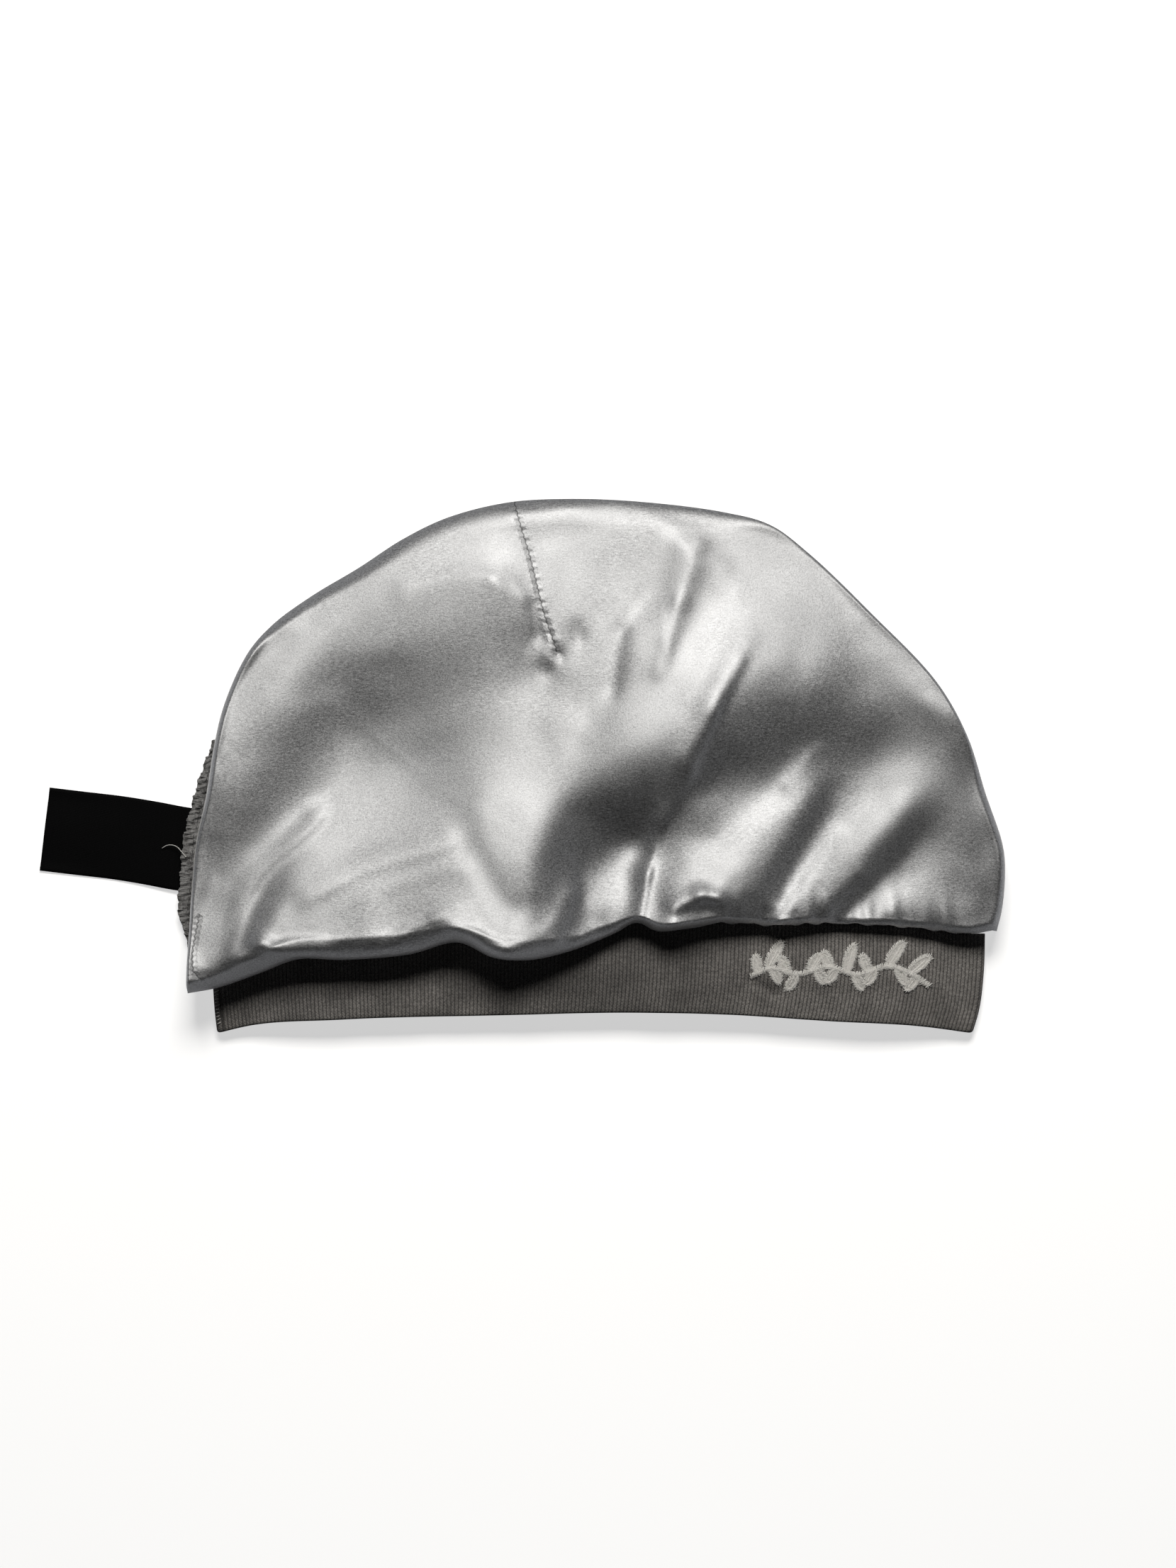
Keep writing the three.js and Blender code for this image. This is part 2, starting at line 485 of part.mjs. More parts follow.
// A bag's wall: its outer and inner grid joined round the open ring of faces.
function bagMesh(name, n, rings, pointAt, skin, wall, look) {
  const columns = bagColumns(n),
    cols = columns.length,
    total = rings.top + rings.under + rings.low + 2;
  const grid = [];
  for (let r = 0; r < total; r++) grid.push(columns.map((c) => pointAt(c, r, rings)));
  const normals = gridNormals(grid, columns);
  const points = [],
    faces = [];
  const put = (by) => {
    const start = points.length;
    const shift = (r, c) => ({
      x: grid[r][c].x - normals[r][c].x * by,
      y: grid[r][c].y - normals[r][c].y * by,
      z: grid[r][c].z - normals[r][c].z * by,
    });
    const spineOf = (r) => {
      for (let k = 0; k <= n.hem; k++) points.push(shift(r, n.back + k));
    };
    spineOf(0);
    for (let r = 1; r < total - 1; r++) for (let c = 0; c < cols; c++) points.push(shift(r, c));
    spineOf(total - 1);
    const low = start + n.hem + 1 + (total - 2) * cols;
    return (r, c) => {
      const j = ((c % cols) + cols) % cols;
      if (r === 0) return start + columns[j].k;
      if (r === total - 1) return low + columns[j].k;
      return start + n.hem + 1 + (r - 1) * cols + j;
    };
  };
  const o = put(skin),
    i = put(skin + wall);
  const mouth = rings.top + rings.under;
  const isOpen = (c) =>
    columns[((c % cols) + cols) % cols].seam !== null && columns[(c + 1 + cols) % cols].seam !== null;
  const add = (f) => {
    const u = f.filter((v, k) => v !== f[(k + 1) % f.length]);
    if (u.length > 2) faces.push(u);
  };
  for (let r = 0; r < total - 1; r++)
    for (let c = 0; c < cols; c++) {
      if (r === mouth && isOpen(c)) continue;
      add([o(r, c), o(r, c + 1), o(r + 1, c + 1), o(r + 1, c)].reverse());
      add([i(r, c), i(r, c + 1), i(r + 1, c + 1), i(r + 1, c)]);
    }
  for (let c = 0; c < cols; c++) {
    if (!isOpen(c)) continue;
    add([o(mouth, c), i(mouth, c), i(mouth, c + 1), o(mouth, c + 1)]);
    add([o(mouth + 1, c), o(mouth + 1, c + 1), i(mouth + 1, c + 1), i(mouth + 1, c)]);
    if (!isOpen(c - 1)) add([o(mouth, c), o(mouth + 1, c), i(mouth + 1, c), i(mouth, c)]);
    if (!isOpen(c + 1))
      add([o(mouth, c + 1), i(mouth, c + 1), i(mouth + 1, c + 1), o(mouth + 1, c + 1)]);
  }
  return meshOf(name, points, faces, look);
}

// ---------------------------------------------------------------- the band
// A flattened ring of folded jersey. Its section, a strip with a round fold at the mouth, goes once round the ring.
function bandMesh(name, look) {
  const loop = bandLoop();
  const strip = [];
  const half = BAND_WALL / 2;
  for (const d of BAND_STEPS) strip.push({ d, out: half });
  for (let k = 1; k < 4; k++)
    strip.push({
      d: BAND_WIDTH - half + half * Math.sin((k * Math.PI) / 4),
      out: half * Math.cos((k * Math.PI) / 4),
    });
  for (const d of [...BAND_STEPS].reverse()) strip.push({ d, out: -half });
  const points = [],
    faces = [];
  for (const l of loop)
    for (const s of strip) {
      const lift = 1 - smooth(s.d, 0, BAND_WIDTH) * (1 - MOUTH_LOW);
      const x0 = l.x + l.nx * s.out * Math.abs(l.nx) ** 0.2;
      const f = (x0 - bandBack(0)) / (bandFront(0) - bandBack(0));
      const x = lerp(bandBack(s.d), bandFront(s.d), f);
      const z = half + (l.z - half) * lift + l.nz * s.out;
      points.push({ x, y: seamLine(x) - s.d, z });
    }
  const m = strip.length;
  loop.forEach((_, a) => {
    const b = (a + 1) % loop.length;
    for (let k = 0; k < m; k++) {
      const j = (k + 1) % m;
      faces.push([a * m + k, a * m + j, b * m + j, b * m + k]);
    }
  });
  return meshOf(name, points, faces, look);
}

// The ring's middle line in the XZ plane, with its outward normal: along the top, round the forehead fold, back
// along the floor and round the back fold.
function bandLoop() {
  const half = BAND_WALL / 2,
    r = BAND_END_TOP / 2 - half;
  const x0 = bandBack(0) + half + r,
    x1 = bandFront(0) - half - r;
  const loop = [];
  for (let k = 0; k <= BAND_SPAN; k++) {
    const x = lerp(x0, x1, k / BAND_SPAN);
    const slope = (bandTop(x + 0.5) - bandTop(x - 0.5)) / 1;
    const len = Math.hypot(1, slope);
    loop.push({ x, z: bandTop(x) - half, nx: -slope / len, nz: 1 / len });
  }
  for (let k = 1; k < 4; k++) {
    const a = Math.PI / 2 - (k * Math.PI) / 4;
    loop.push({ x: x1 + r * Math.cos(a), z: half + r + r * Math.sin(a), nx: Math.cos(a), nz: Math.sin(a) });
  }
  for (let k = 0; k <= BAND_SPAN; k++)
    loop.push({ x: lerp(x1, x0, k / BAND_SPAN), z: half, nx: 0, nz: -1 });
  for (let k = 1; k < 4; k++) {
    const a = -Math.PI / 2 - (k * Math.PI) / 4;
    loop.push({ x: x0 + r * Math.cos(a), z: half + r + r * Math.sin(a), nx: Math.cos(a), nz: Math.sin(a) });
  }
  return loop;
}

// ---------------------------------------------------------------- back seam, label, embroidery
// A flat ribbon: sections across it, each with an inner and an outer edge and a height.
function ribbonMesh(name, sections, thick, look) {
  const points = [],
    faces = [];
  for (const s of sections) {
    points.push({ x: s.a.x, y: s.a.y, z: s.a.z });
    points.push({ x: s.b.x, y: s.b.y, z: s.b.z });
    points.push({ x: s.b.x, y: s.b.y, z: s.b.z + thick });
    points.push({ x: s.a.x, y: s.a.y, z: s.a.z + thick });
  }
  const last = sections.length - 1;
  faces.push([0, 1, 2, 3]);
  for (let i = 0; i < last; i++)
    for (let k = 0; k < 4; k++) {
      const j = (k + 1) % 4;
      faces.push([i * 4 + k, (i + 1) * 4 + k, (i + 1) * 4 + j, i * 4 + j]);
    }
  faces.push([last * 4 + 3, last * 4 + 2, last * 4 + 1, last * 4]);
  return meshOf(name, points, faces, look);
}

function backSeam() {
  const out = curveOf(BACK_SEAM, "y", "out");
  const sections = [];
  for (let k = 0; k <= STRIP_STEPS; k++) {
    const y = lerp(BACK_SEAM[0].y, BACK_SEAM[BACK_SEAM.length - 1].y, k / STRIP_STEPS);
    const x = outlineX(y) - GAP;
    const lump = 0.35 * Math.sin(k * 1.9) * Math.min(1, out(y) / 3);
    sections.push({
      a: { x: x - out(y) - lump * 0.5, y, z: STRIP_LOW },
      b: { x, y, z: STRIP_LOW + 0.4 + lump * 0.4 },
    });
  }
  return ribbonMesh("back_seam", sections, STRIP_THICK, { color: 0x8a8784, roughness: 0.9, metalness: 0 });
}

function careLabel() {
  const curve = new THREE.CatmullRomCurve3(
    LABEL.map((r) => new THREE.Vector3(r.x, r.y, r.z)),
    false,
    "centripetal",
  );
  const sections = [];
  for (let k = 0; k <= LABEL_STEPS; k++) {
    const c = curve.getPointAt(k / LABEL_STEPS),
      t = curve.getTangentAt(k / LABEL_STEPS).setZ(0).normalize();
    const w = LABEL_WIDTH / 2;
    sections.push({
      a: { x: c.x - t.y * w, y: c.y + t.x * w, z: c.z },
      b: { x: c.x + t.y * w, y: c.y - t.x * w, z: c.z },
    });
  }
  return ribbonMesh("care_label", sections, LABEL_THICK, { color: 0x060607, roughness: 0.45, metalness: 0 });
}

// A closed bar of one thickness over a 2D outline, laid on the band's upper face.
function laidOn(shape) {
  const g = new THREE.ExtrudeGeometry(shape, { depth: THREAD_HIGH, bevelEnabled: false, steps: 1, curveSegments: 6 });
  g.deleteAttribute("normal");
  g.deleteAttribute("uv");
  const p = g.getAttribute("position");
  for (let i = 0; i < p.count; i++)
    p.setZ(i, p.getZ(i) + bandTop(p.getX(i)) + THREAD_GAP);
  const merged = mergeVertices(g, 1e-4);
  return new wasm.Manifold(
    new wasm.Mesh({
      numProp: 3,
      vertProperties: merged.attributes.position.array,
      triVerts: new Uint32Array(merged.index.array),
    }),
  );
}

// A plain sprig: a waved stem with a leaf at each turn, worked in thread on the forehead end of the band.
function embroidery() {
  const stem = new THREE.CatmullRomCurve3(
    SPRIG.map((r) => new THREE.Vector3(r.x, r.y, 0)),
    false,
    "centripetal",
  );
  const pts = stem.getSpacedPoints(SPRIG_STEPS),
    edge = [];
  const normal = (i) => {
    const t = pts[Math.min(SPRIG_STEPS, i + 1)].clone().sub(pts[Math.max(0, i - 1)]).normalize();
    return new THREE.Vector3(-t.y, t.x, 0);
  };
  pts.forEach((p, i) => edge.push(p.clone().addScaledVector(normal(i), SPRIG_STEM / 2)));
  [...pts.keys()].reverse().forEach((i) => edge.push(pts[i].clone().addScaledVector(normal(i), -SPRIG_STEM / 2)));
  let body = laidOn(new THREE.Shape(edge.map((p) => new THREE.Vector2(p.x, p.y))));
  for (const leaf of LEAVES) {
    const root = stem.getPointAt(leaf.at),
      a = THREE.MathUtils.degToRad(leaf.turn);
    const outline = [];
    for (let k = 0; k < LEAF_STEPS; k++) {
      const s = (k / LEAF_STEPS) * Math.PI * 2;
      const along = (leaf.long / 2) * (1 - Math.cos(s)),
        across = (leaf.wide / 2) * Math.sin(s) * (0.75 + 0.25 * Math.cos(s * 0.5));
      outline.push(
        new THREE.Vector2(
          root.x + along * Math.cos(a) - across * Math.sin(a),
          root.y + along * Math.sin(a) + across * Math.cos(a),
        ),
      );
    }
    body = body.add(laidOn(new THREE.Shape(outline)));
  }
  return meshFrom(body, "embroidery", { color: 0xd9d5cc, roughness: 0.55, metalness: 0 });
}

// A cut or joined solid as a mesh.
function meshFrom(solid, name, look) {
  const out = solid.getMesh(),
    g = new THREE.BufferGeometry();
  g.setAttribute("position", new THREE.BufferAttribute(new Float32Array(out.vertProperties), 3));
  g.setIndex(new THREE.BufferAttribute(new Uint32Array(out.triVerts), 1));
  g.computeVertexNormals();
  const m = new THREE.Mesh(g, new THREE.MeshStandardMaterial(look));
  m.name = name;
  return m;
}
// ---------------------------------------------------------------- the cap
const cap = new THREE.Group();
cap.name = "skull_cap";
const SATIN_LOOK = { color: 0xb4b3b4, roughness: 0.35, metalness: 0.0 };
const JERSEY_LOOK = { color: 0x56524e, roughness: 0.95, metalness: 0.0 };
const GRID = [
  { back: 8, hem: 25, front: 7 },
  { top: 8, under: 3, low: 3 },
];
cap.add(
  bagMesh("satin_lining", ...GRID, liningPoint, 0, SATIN, SATIN_LOOK),
  bagMesh("jersey_shell", ...GRID, shellPoint, SATIN + LAYER_GAP, JERSEY, JERSEY_LOOK),
  bandMesh("band", JERSEY_LOOK),
  backSeam(),
  careLabel(),
  embroidery(),
);

export default cap;
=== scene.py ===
"""Satin-lined skull cap, turned lining side out and lying flat. Lengths in the tables are millimetres."""

import math

import bpy
import numpy as np
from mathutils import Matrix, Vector


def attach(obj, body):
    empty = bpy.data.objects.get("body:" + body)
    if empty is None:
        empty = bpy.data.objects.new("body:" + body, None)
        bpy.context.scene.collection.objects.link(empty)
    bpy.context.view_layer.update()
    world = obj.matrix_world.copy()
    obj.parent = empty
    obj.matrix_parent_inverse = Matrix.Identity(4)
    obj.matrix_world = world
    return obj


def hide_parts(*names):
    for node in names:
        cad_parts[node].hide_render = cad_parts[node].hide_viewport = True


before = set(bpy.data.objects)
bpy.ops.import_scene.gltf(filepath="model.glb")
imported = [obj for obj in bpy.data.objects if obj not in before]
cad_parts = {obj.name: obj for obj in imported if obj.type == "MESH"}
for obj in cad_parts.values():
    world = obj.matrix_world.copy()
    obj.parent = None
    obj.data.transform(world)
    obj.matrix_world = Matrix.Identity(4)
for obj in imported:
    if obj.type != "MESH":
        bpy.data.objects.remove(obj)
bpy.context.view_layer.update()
MM = 0.001
rng = np.random.default_rng(11)

# ---------------------------------------------------------------- the cap's own measures
SATIN = 0.8  # wall of the lining, with its turned seams
JERSEY = 1.2
SHELL_IN = 1.7  # the shell lies this far inside the lining's face
GAP = 0.4
OVER_BAND = 0.8
BAND_WIDTH = 30.0
BAND_WALL = 2.0
BAND_TOP = 11.4
BAND_FLAT = 0.72
BAND_END_TOP = 5.6
ROLL = 4.4
LEAST = 7.2  # the lining nowhere lies lower than this
LEAST_SOFT = 1.2
HEM_TURN = 1.2
ROLL_UNDER = 4.5
GATHER = 0.35
GATHER_REACH = 2.4
GATHER_DEEP = 0.9
SPINE = (-52.0, 98.0, 0.0)
SHELL_SLACK = 1.6
SHELL_SAG = 1.0
SHELL_SAG_THIN = 0.5
SHELL_RIM = 4.6
SHELL_MIDDLE = 14.0
SHELL_SHARE = 0.93
SHELL_CLEAR = 0.3
SHELL_DROP = 0.6
MOUTH_LOW = 0.86

# The crown's flat outline, from the low back corner over the top to the forehead corner, the rim's height and how wide its edge rolls over.
# x, y, rim, roll
OUTLINE = [
    (-99.4, -68, 12.5, 1.6),
    (-99.3, -60, 12, 1.6),
    (-98.8, -50, 11, 1.6),
    (-98.2, -38, 10.5, 1.6),
    (-96.9, -23, 10, 1.6),
    (-94, -9, 9.8, 2.2),
    (-91.5, 7, 9.2, 2.2),
    (-88.6, 19, 8.2, 2.2),
    (-81.7, 34.1, 7.2, 2.2),
    (-74.3, 42.7, 6, 3.4),
    (-62.8, 51.2, 5, 4.2),
    (-48.7, 59.7, 4.4, 4.6),
    (-35.7, 68.2, 4.2, 5.2),
    (-22.1, 74.8, 3.9, 6.2),
    (-4, 79.4, 3.6, 7.6),
    (14, 80.5, 3.6, 8),
    (35.3, 79.7, 3.6, 8),
    (60.9, 76.5, 4.2, 5.6),
    (75, 72.5, 6.4, 1.6),
    (86.4, 64.1, 6.9, 1.1),
    (105.5, 45.6, 8.8, 1),
    (124.7, 25.2, 10.4, 1),
    (134, 8.6, 10.8, 1.2),
    (139.6, -8.4, 8.4, 2.8),
    (144.6, -23.5, 8.8, 2.8),
    (145.3, -31, 9, 2.8),
    (144.5, -42.4, 9.2, 2.8),
    (142.8, -49.5, 9.6, 2.8),
]

# The slumped hem of the lining, from the forehead corner back.
# x, y, rim, roll
HEM = [
    (142.8, -49.5, 9.6, 3),
    (134.3, -50.5, 11.5, 2.6),
    (116.4, -48.6, 13.8, 2.4),
    (92.3, -47.4, 14.8, 2.4),
    (76.4, -48, 14.8, 2.4),
    (60, -47.3, 14.8, 2.4),
    (50, -48.6, 15.3, 2.4),
    (41, -49.3, 15.8, 2.6),
    (34.8, -46.8, 15.3, 2.4),
    (28.3, -49.9, 16.3, 3.2),
    (15.5, -55, 17.8, 4.5),
    (2.8, -57.8, 18.3, 6),
    (-7.9, -57.1, 18.3, 6),
    (-18.3, -52.6, 18.3, 5),
    (-32.8, -56.1, 18.3, 6.5),
    (-52.3, -57.8, 17.8, 6.5),
    (-66, -57.6, 17.3, 6),
    (-77.4, -61.8, 15.4, 5),
    (-90, -66.2, 13.4, 4),
    (-99.4, -68, 12.5, 3.5),
]

# The band's folded mouth edge.
# x, y
MOUTH_EDGE = [
    (-91.5, -80.5),
    (-82, -78.2),
    (-54, -76.1),
    (-7, -74.8),
    (35, -74),
    (60, -74.5),
    (92, -76.5),
    (120, -78.2),
    (136.2, -80.5),
]

# Where the band's two folded ends stand.
# from_seam, back, front
BAND_ENDS = [
    (0, -93, 140),
    (12, -92.9, 139.6),
    (24, -92.2, 138),
    (30, -91.5, 136.2),
]

# How far the serged allowance of the back seam stands out.
# y, out
BACK_SEAM = [
    (8, 0.9),
    (2, 2.2),
    (-6, 3.8),
    (-14, 4.4),
    (-24, 4.6),
    (-34, 4.4),
    (-42, 4.6),
    (-46, 3.9),
    (-50, 2.2),
    (-55, 0.9),
]

# The care ribbon's centre line.
# x, y, z
LABEL = [
    (-98.2, -25.6, 1.4),
    (-104, -24.7, 1.1),
    (-112, -23.2, 0.5),
    (-122, -21.6, 0.1),
    (-133, -20.3, 0),
    (-143.8, -19, 0),
]

# The embroidered sprig's stem.
# x, y
SPRIG = [
    (69, -63.2),
    (75, -60.6),
    (83, -62.4),
    (92, -60.2),
    (101, -62.6),
    (110, -60),
    (117, -62.4),
    (122.6, -66),
]

# Its leaves.
# at, turn, long, wide
LEAVES = [
    (0.05, 100, 5.2, 3),
    (0.1, 62, 9, 3.4),
    (0.12, -60, 5.2, 3),
    (0.22, 118, 5.6, 3.2),
    (0.25, -118, 5.2, 3),
    (0.33, 60, 5.8, 3.2),
    (0.36, -58, 5, 3),
    (0.45, 120, 5.6, 3.2),
    (0.47, -122, 5, 3),
    (0.53, 75, 8.8, 3.4),
    (0.57, -60, 5.2, 3),
    (0.66, 118, 5.6, 3.2),
    (0.68, -120, 5, 3),
    (0.76, 58, 8.6, 3.8),
    (0.8, -62, 5.6, 3.2),
    (0.88, 40, 8, 3.6),
    (0.92, -130, 5, 3),
]

PUFF = {"edge": 8.60, "rise": 14.13, "reach": 27.66}

# Folds of the lining: centre line, width of each flank, and how far it stands up or sinks.
# x0, y0, x1, y1, left, right, rise, bend
FOLDS = [
    (-100.5, -12.0, -103.0, 34.7, 32.17, 26.20, 9.21, -2.45),
    (-100.5, -67.0, -91.7, -68.2, 32.03, 28.11, 8.33, -1.29),
    (-88.5, -70.2, -31.2, -67.8, 27.07, 33.64, 8.09, 2.57),
    (80.7, 0.9, 103.0, -3.2, 21.12, 21.69, -7.36, 0.79),
    (-36.7, 2.8, -39.7, 9.9, 22.28, 26.73, -6.33, 0.01),
    (-15.5, -63.3, -1.7, -61.4, 10.09, 22.69, 9.09, -1.44),
    (-0.2, 31.3, 63.0, 58.9, 34.00, 23.42, -4.90, -7.50),
    (134.8, 14.8, 135.2, 14.2, 21.55, 14.34, 6.98, -0.04),
    (148.9, -40.9, 143.3, -18.0, 26.69, 3.00, 5.40, -4.93),
    (95.4, -48.1, 117.4, -26.8, 7.11, 30.72, -3.58, 0.56),
    (28.1, -25.5, 55.3, -9.9, 12.90, 20.36, -4.06, -4.29),
    (-30.9, -35.1, 45.1, -55.2, 33.95, 15.96, 2.62, -22.72),
    (6.2, 84.8, 27.3, 82.2, 14.35, 6.11, -6.20, 5.68),
    (-64.7, -4.5, -68.6, -27.1, 34.00, 18.12, -2.40, 2.98),
    (-90.6, -63.6, -91.1, -60.0, 7.93, 20.63, -4.17, 0.29),
    (28.5, -35.9, 17.3, 54.2, 21.33, 17.38, -2.99, 11.22),
    (6.6, -30.4, 10.3, -25.2, 14.84, 18.55, 3.12, 0.03),
    (-78.8, -39.0, -81.3, -61.0, 17.20, 14.78, -2.88, 6.39),
    (87.4, 21.3, 26.1, -1.4, 28.37, 14.60, 2.13, -3.08),
    (-41.6, -59.7, -7.6, -59.0, 7.84, 12.13, 4.45, -7.07),
    (-79.0, -70.9, -80.5, -71.9, 13.16, 7.63, -4.13, -0.54),
    (-67.5, -37.5, -67.6, -61.9, 15.01, 11.13, 3.17, -4.46),
    (-80.9, 40.7, -63.2, 52.4, 22.69, 6.74, 2.46, -1.88),
    (95.3, 62.1, 148.8, -30.6, 28.40, 3.97, 2.23, 11.60),
    (124.2, 29.9, 117.7, 41.9, 14.03, 9.37, 2.38, -0.03),
    (-88.3, 4.4, -88.6, 4.8, 16.61, 10.27, 2.01, 0.12),
    (-27.3, 66.0, 15.4, 83.6, 7.62, 28.35, -1.45, -1.95),
    (87.1, -27.0, 112.1, -33.8, 9.72, 18.32, -1.83, -2.30),
    (-63.2, -60.3, -59.4, -58.8, 6.86, 8.45, 3.32, 0.16),
    (53.1, -60.4, 91.6, -17.2, 7.24, 12.02, -2.52, -2.70),
    (-70.7, -57.5, -86.1, -49.9, 12.70, 13.77, 1.82, -5.17),
    (13.4, 54.6, -3.5, 48.7, 21.49, 12.04, 1.39, 5.38),
    (-99.1, -61.1, -83.3, -34.7, 11.53, 9.18, 1.99, 5.98),
    (-66.8, 46.4, -59.0, 52.2, 15.03, 6.63, -1.87, 0.32),
    (48.5, 77.2, 86.5, 69.0, 7.83, 3.59, -3.16, 1.97),
    (33.7, 34.3, 16.6, 39.8, 12.99, 10.29, 1.51, 2.66),
    (115.6, -4.3, 124.6, -43.2, 11.66, 12.66, 1.42, -11.98),
    (43.0, -14.4, 37.3, -44.1, 25.98, 3.00, 1.17, -0.29),
    (103.0, -35.3, 83.7, 2.1, 22.03, 10.23, 1.05, 12.61),
    (97.5, 29.7, 95.3, 43.1, 16.92, 11.17, -1.18, -1.16),
    (-84.3, -29.0, -52.2, 36.8, 12.96, 10.98, -1.32, -14.23),
    (111.3, -44.5, 42.9, -50.9, 9.23, 5.79, 2.02, 20.05),
    (-13.8, -62.2, 4.4, -64.4, 3.99, 10.97, 1.93, 4.65),
    (110.4, -10.7, 90.8, -14.8, 10.39, 11.91, 1.25, 3.07),
    (-99.2, -67.5, -97.2, -31.3, 8.97, 5.06, 1.92, 5.42),
    (130.9, -55.1, 147.4, -27.6, 5.22, 8.77, 1.91, -7.47),
    (39.8, -10.3, 16.8, -36.0, 8.12, 8.98, -1.48, -0.75),
    (-9.1, -11.7, -25.4, -71.0, 24.63, 8.07, 0.77, 15.68),
    (-28.9, 63.4, 33.2, 73.2, 17.13, 10.14, 0.91, -4.26),
    (34.8, -26.0, 57.9, -24.5, 8.74, 10.04, -1.27, 3.32),
    (-31.0, 64.2, 30.3, 86.0, 13.89, 14.82, -0.83, -9.94),
    (-45.6, -42.3, -45.6, -41.7, 12.49, 9.47, 1.06, 0.04),
    (31.9, 59.0, 14.7, 79.3, 11.10, 15.20, -0.85, -7.49),
    (100.4, 50.2, 98.8, 61.8, 11.67, 8.83, 1.08, -0.48),
    (-95.2, -63.3, -94.5, -6.1, 21.69, 4.33, 0.80, 2.32),
    (-88.7, 3.0, -74.6, 38.4, 3.39, 10.13, -1.33, 2.20),
    (81.7, -42.9, 84.0, -40.4, 5.42, 13.68, 0.93, -0.11),
    (42.8, -30.0, 9.3, -70.8, 5.32, 13.38, -0.94, 15.71),
    (-85.3, -47.9, -89.8, -44.4, 7.33, 6.68, -1.26, 0.52),
    (63.1, -2.5, 35.8, -21.8, 8.52, 7.68, -1.04, -0.99),
    (14.4, -28.7, 17.4, -16.8, 6.62, 6.62, -1.23, 0.65),
    (7.2, 37.5, 18.8, 39.4, 14.64, 7.78, -0.72, 1.73),
    (-4.4, -52.6, 6.0, -53.5, 3.00, 6.55, -1.68, 0.32),
    (77.6, -47.9, 77.3, -42.4, 5.82, 3.77, 1.66, 1.01),
    (14.3, 26.6, -2.1, 16.4, 13.09, 9.76, 0.70, 4.27),
    (-74.7, -57.1, -74.4, -58.3, 3.84, 7.52, -1.37, 0.08),
    (50.1, 64.7, 42.9, 39.4, 7.25, 5.50, 1.19, 0.70),
    (-97.3, -57.4, -97.1, -32.0, 11.01, 3.42, -1.04, -0.88),
    (112.4, -40.4, 140.6, -32.3, 6.43, 7.36, 1.02, 3.48),
    (14.3, -50.4, 25.8, -49.0, 6.20, 3.49, -1.35, 2.15),
    (-8.8, -46.1, -15.9, -33.0, 10.55, 4.70, 0.85, -0.16),
    (58.4, 46.5, 12.2, 70.0, 10.86, 7.60, -0.66, -9.07),
    (131.9, 19.5, 123.9, 23.5, 4.19, 10.66, -0.81, 0.26),
    (-29.2, -50.0, -24.0, -48.4, 3.00, 6.07, -1.26, 0.52),
    (38.1, 18.1, 17.2, -34.0, 10.70, 12.91, -0.48, -1.10),
    (-4.9, 30.7, 1.6, 53.6, 12.79, 6.48, 0.58, -2.46),
    (-4.3, -51.2, -8.1, -50.8, 3.00, 5.68, -1.25, -0.14),
    (-43.7, 30.9, -58.4, 57.1, 15.32, 7.70, 0.46, 4.76),
    (-32.4, -48.9, -15.4, -50.8, 3.00, 6.51, 1.07, 3.38),
    (51.7, -47.1, 56.7, -44.6, 3.61, 4.58, -1.23, 0.07),
    (-85.6, 6.6, -83.3, 4.8, 10.17, 4.84, -0.67, -0.44),
    (-19.8, 63.7, 35.0, 86.0, 13.80, 8.73, -0.43, -13.39),
    (71.1, -60.3, 77.6, -41.8, 4.04, 3.00, -1.38, 4.41),
    (-82.5, -57.1, -75.7, -54.1, 3.44, 4.16, 1.22, -0.25),
    (-2.4, 36.8, 84.8, 86.0, 10.61, 16.60, -0.33, 15.23),
    (8.3, 32.2, 10.0, 35.4, 5.78, 3.00, 1.00, 0.36),
    (6.3, -49.3, 12.9, -37.8, 11.20, 3.07, 0.59, -1.08),
    (38.1, 49.4, 18.3, 7.8, 9.08, 5.03, -0.58, -3.53),
    (123.8, -42.8, 135.9, -45.5, 5.69, 5.61, 0.72, -2.01),
    (-102.1, -56.9, -80.4, -55.7, 5.30, 3.00, 0.98, -3.46),
    (-1.6, 77.5, 37.1, 78.6, 3.00, 3.00, 1.20, 0.82),
    (152.0, 21.3, 105.4, 23.9, 7.45, 8.08, -0.45, 10.89),
    (-99.1, -21.4, -42.2, -3.6, 5.39, 11.52, 0.40, -9.83),
    (84.2, 4.5, 58.0, -20.1, 5.46, 6.47, -0.54, 2.06),
    (-9.4, 57.3, -8.9, 57.0, 3.57, 3.51, 0.85, 0.16),
    (9.9, 36.4, 6.2, 37.6, 5.64, 4.12, -0.58, -0.05),
    (-17.7, 78.3, 6.1, 67.6, 4.60, 16.75, -0.26, -2.58),
    (62.1, -39.5, 60.9, -38.3, 3.99, 7.67, 0.46, -0.05),
    (17.3, -63.1, 11.4, -48.1, 4.02, 3.81, 0.68, -4.31),
    (-17.7, -44.3, -10.6, -46.1, 6.78, 3.00, 0.54, 0.73),
    (37.7, -32.0, 35.1, -46.7, 1.60, 4.00, 0.90, 0.00),
    (-62.6, -38.6, -21.7, -23.3, 6.00, 3.00, 0.55, 1.80),
    (60.6, 24.2, 49.5, 2.9, 3.00, 4.34, 0.66, 0.75),
    (117.6, -48.7, 91.8, -47.6, 4.15, 1.70, 0.79, -0.27),
    (-60.4, -15.2, -87.4, -57.1, 2.40, 4.60, 0.66, -5.30),
    (47.6, 66.9, 59.6, 60.4, 3.00, 8.78, 0.38, -3.18),
    (42.3, 37.6, 46.6, 37.6, 5.54, 4.78, -0.43, 1.31),
    (46.6, -42.2, 53.8, -38.6, 3.50, 1.80, 0.80, 0.00),
    (53.8, -38.6, 57.7, -39.5, 3.50, 1.80, 0.80, 0.00),
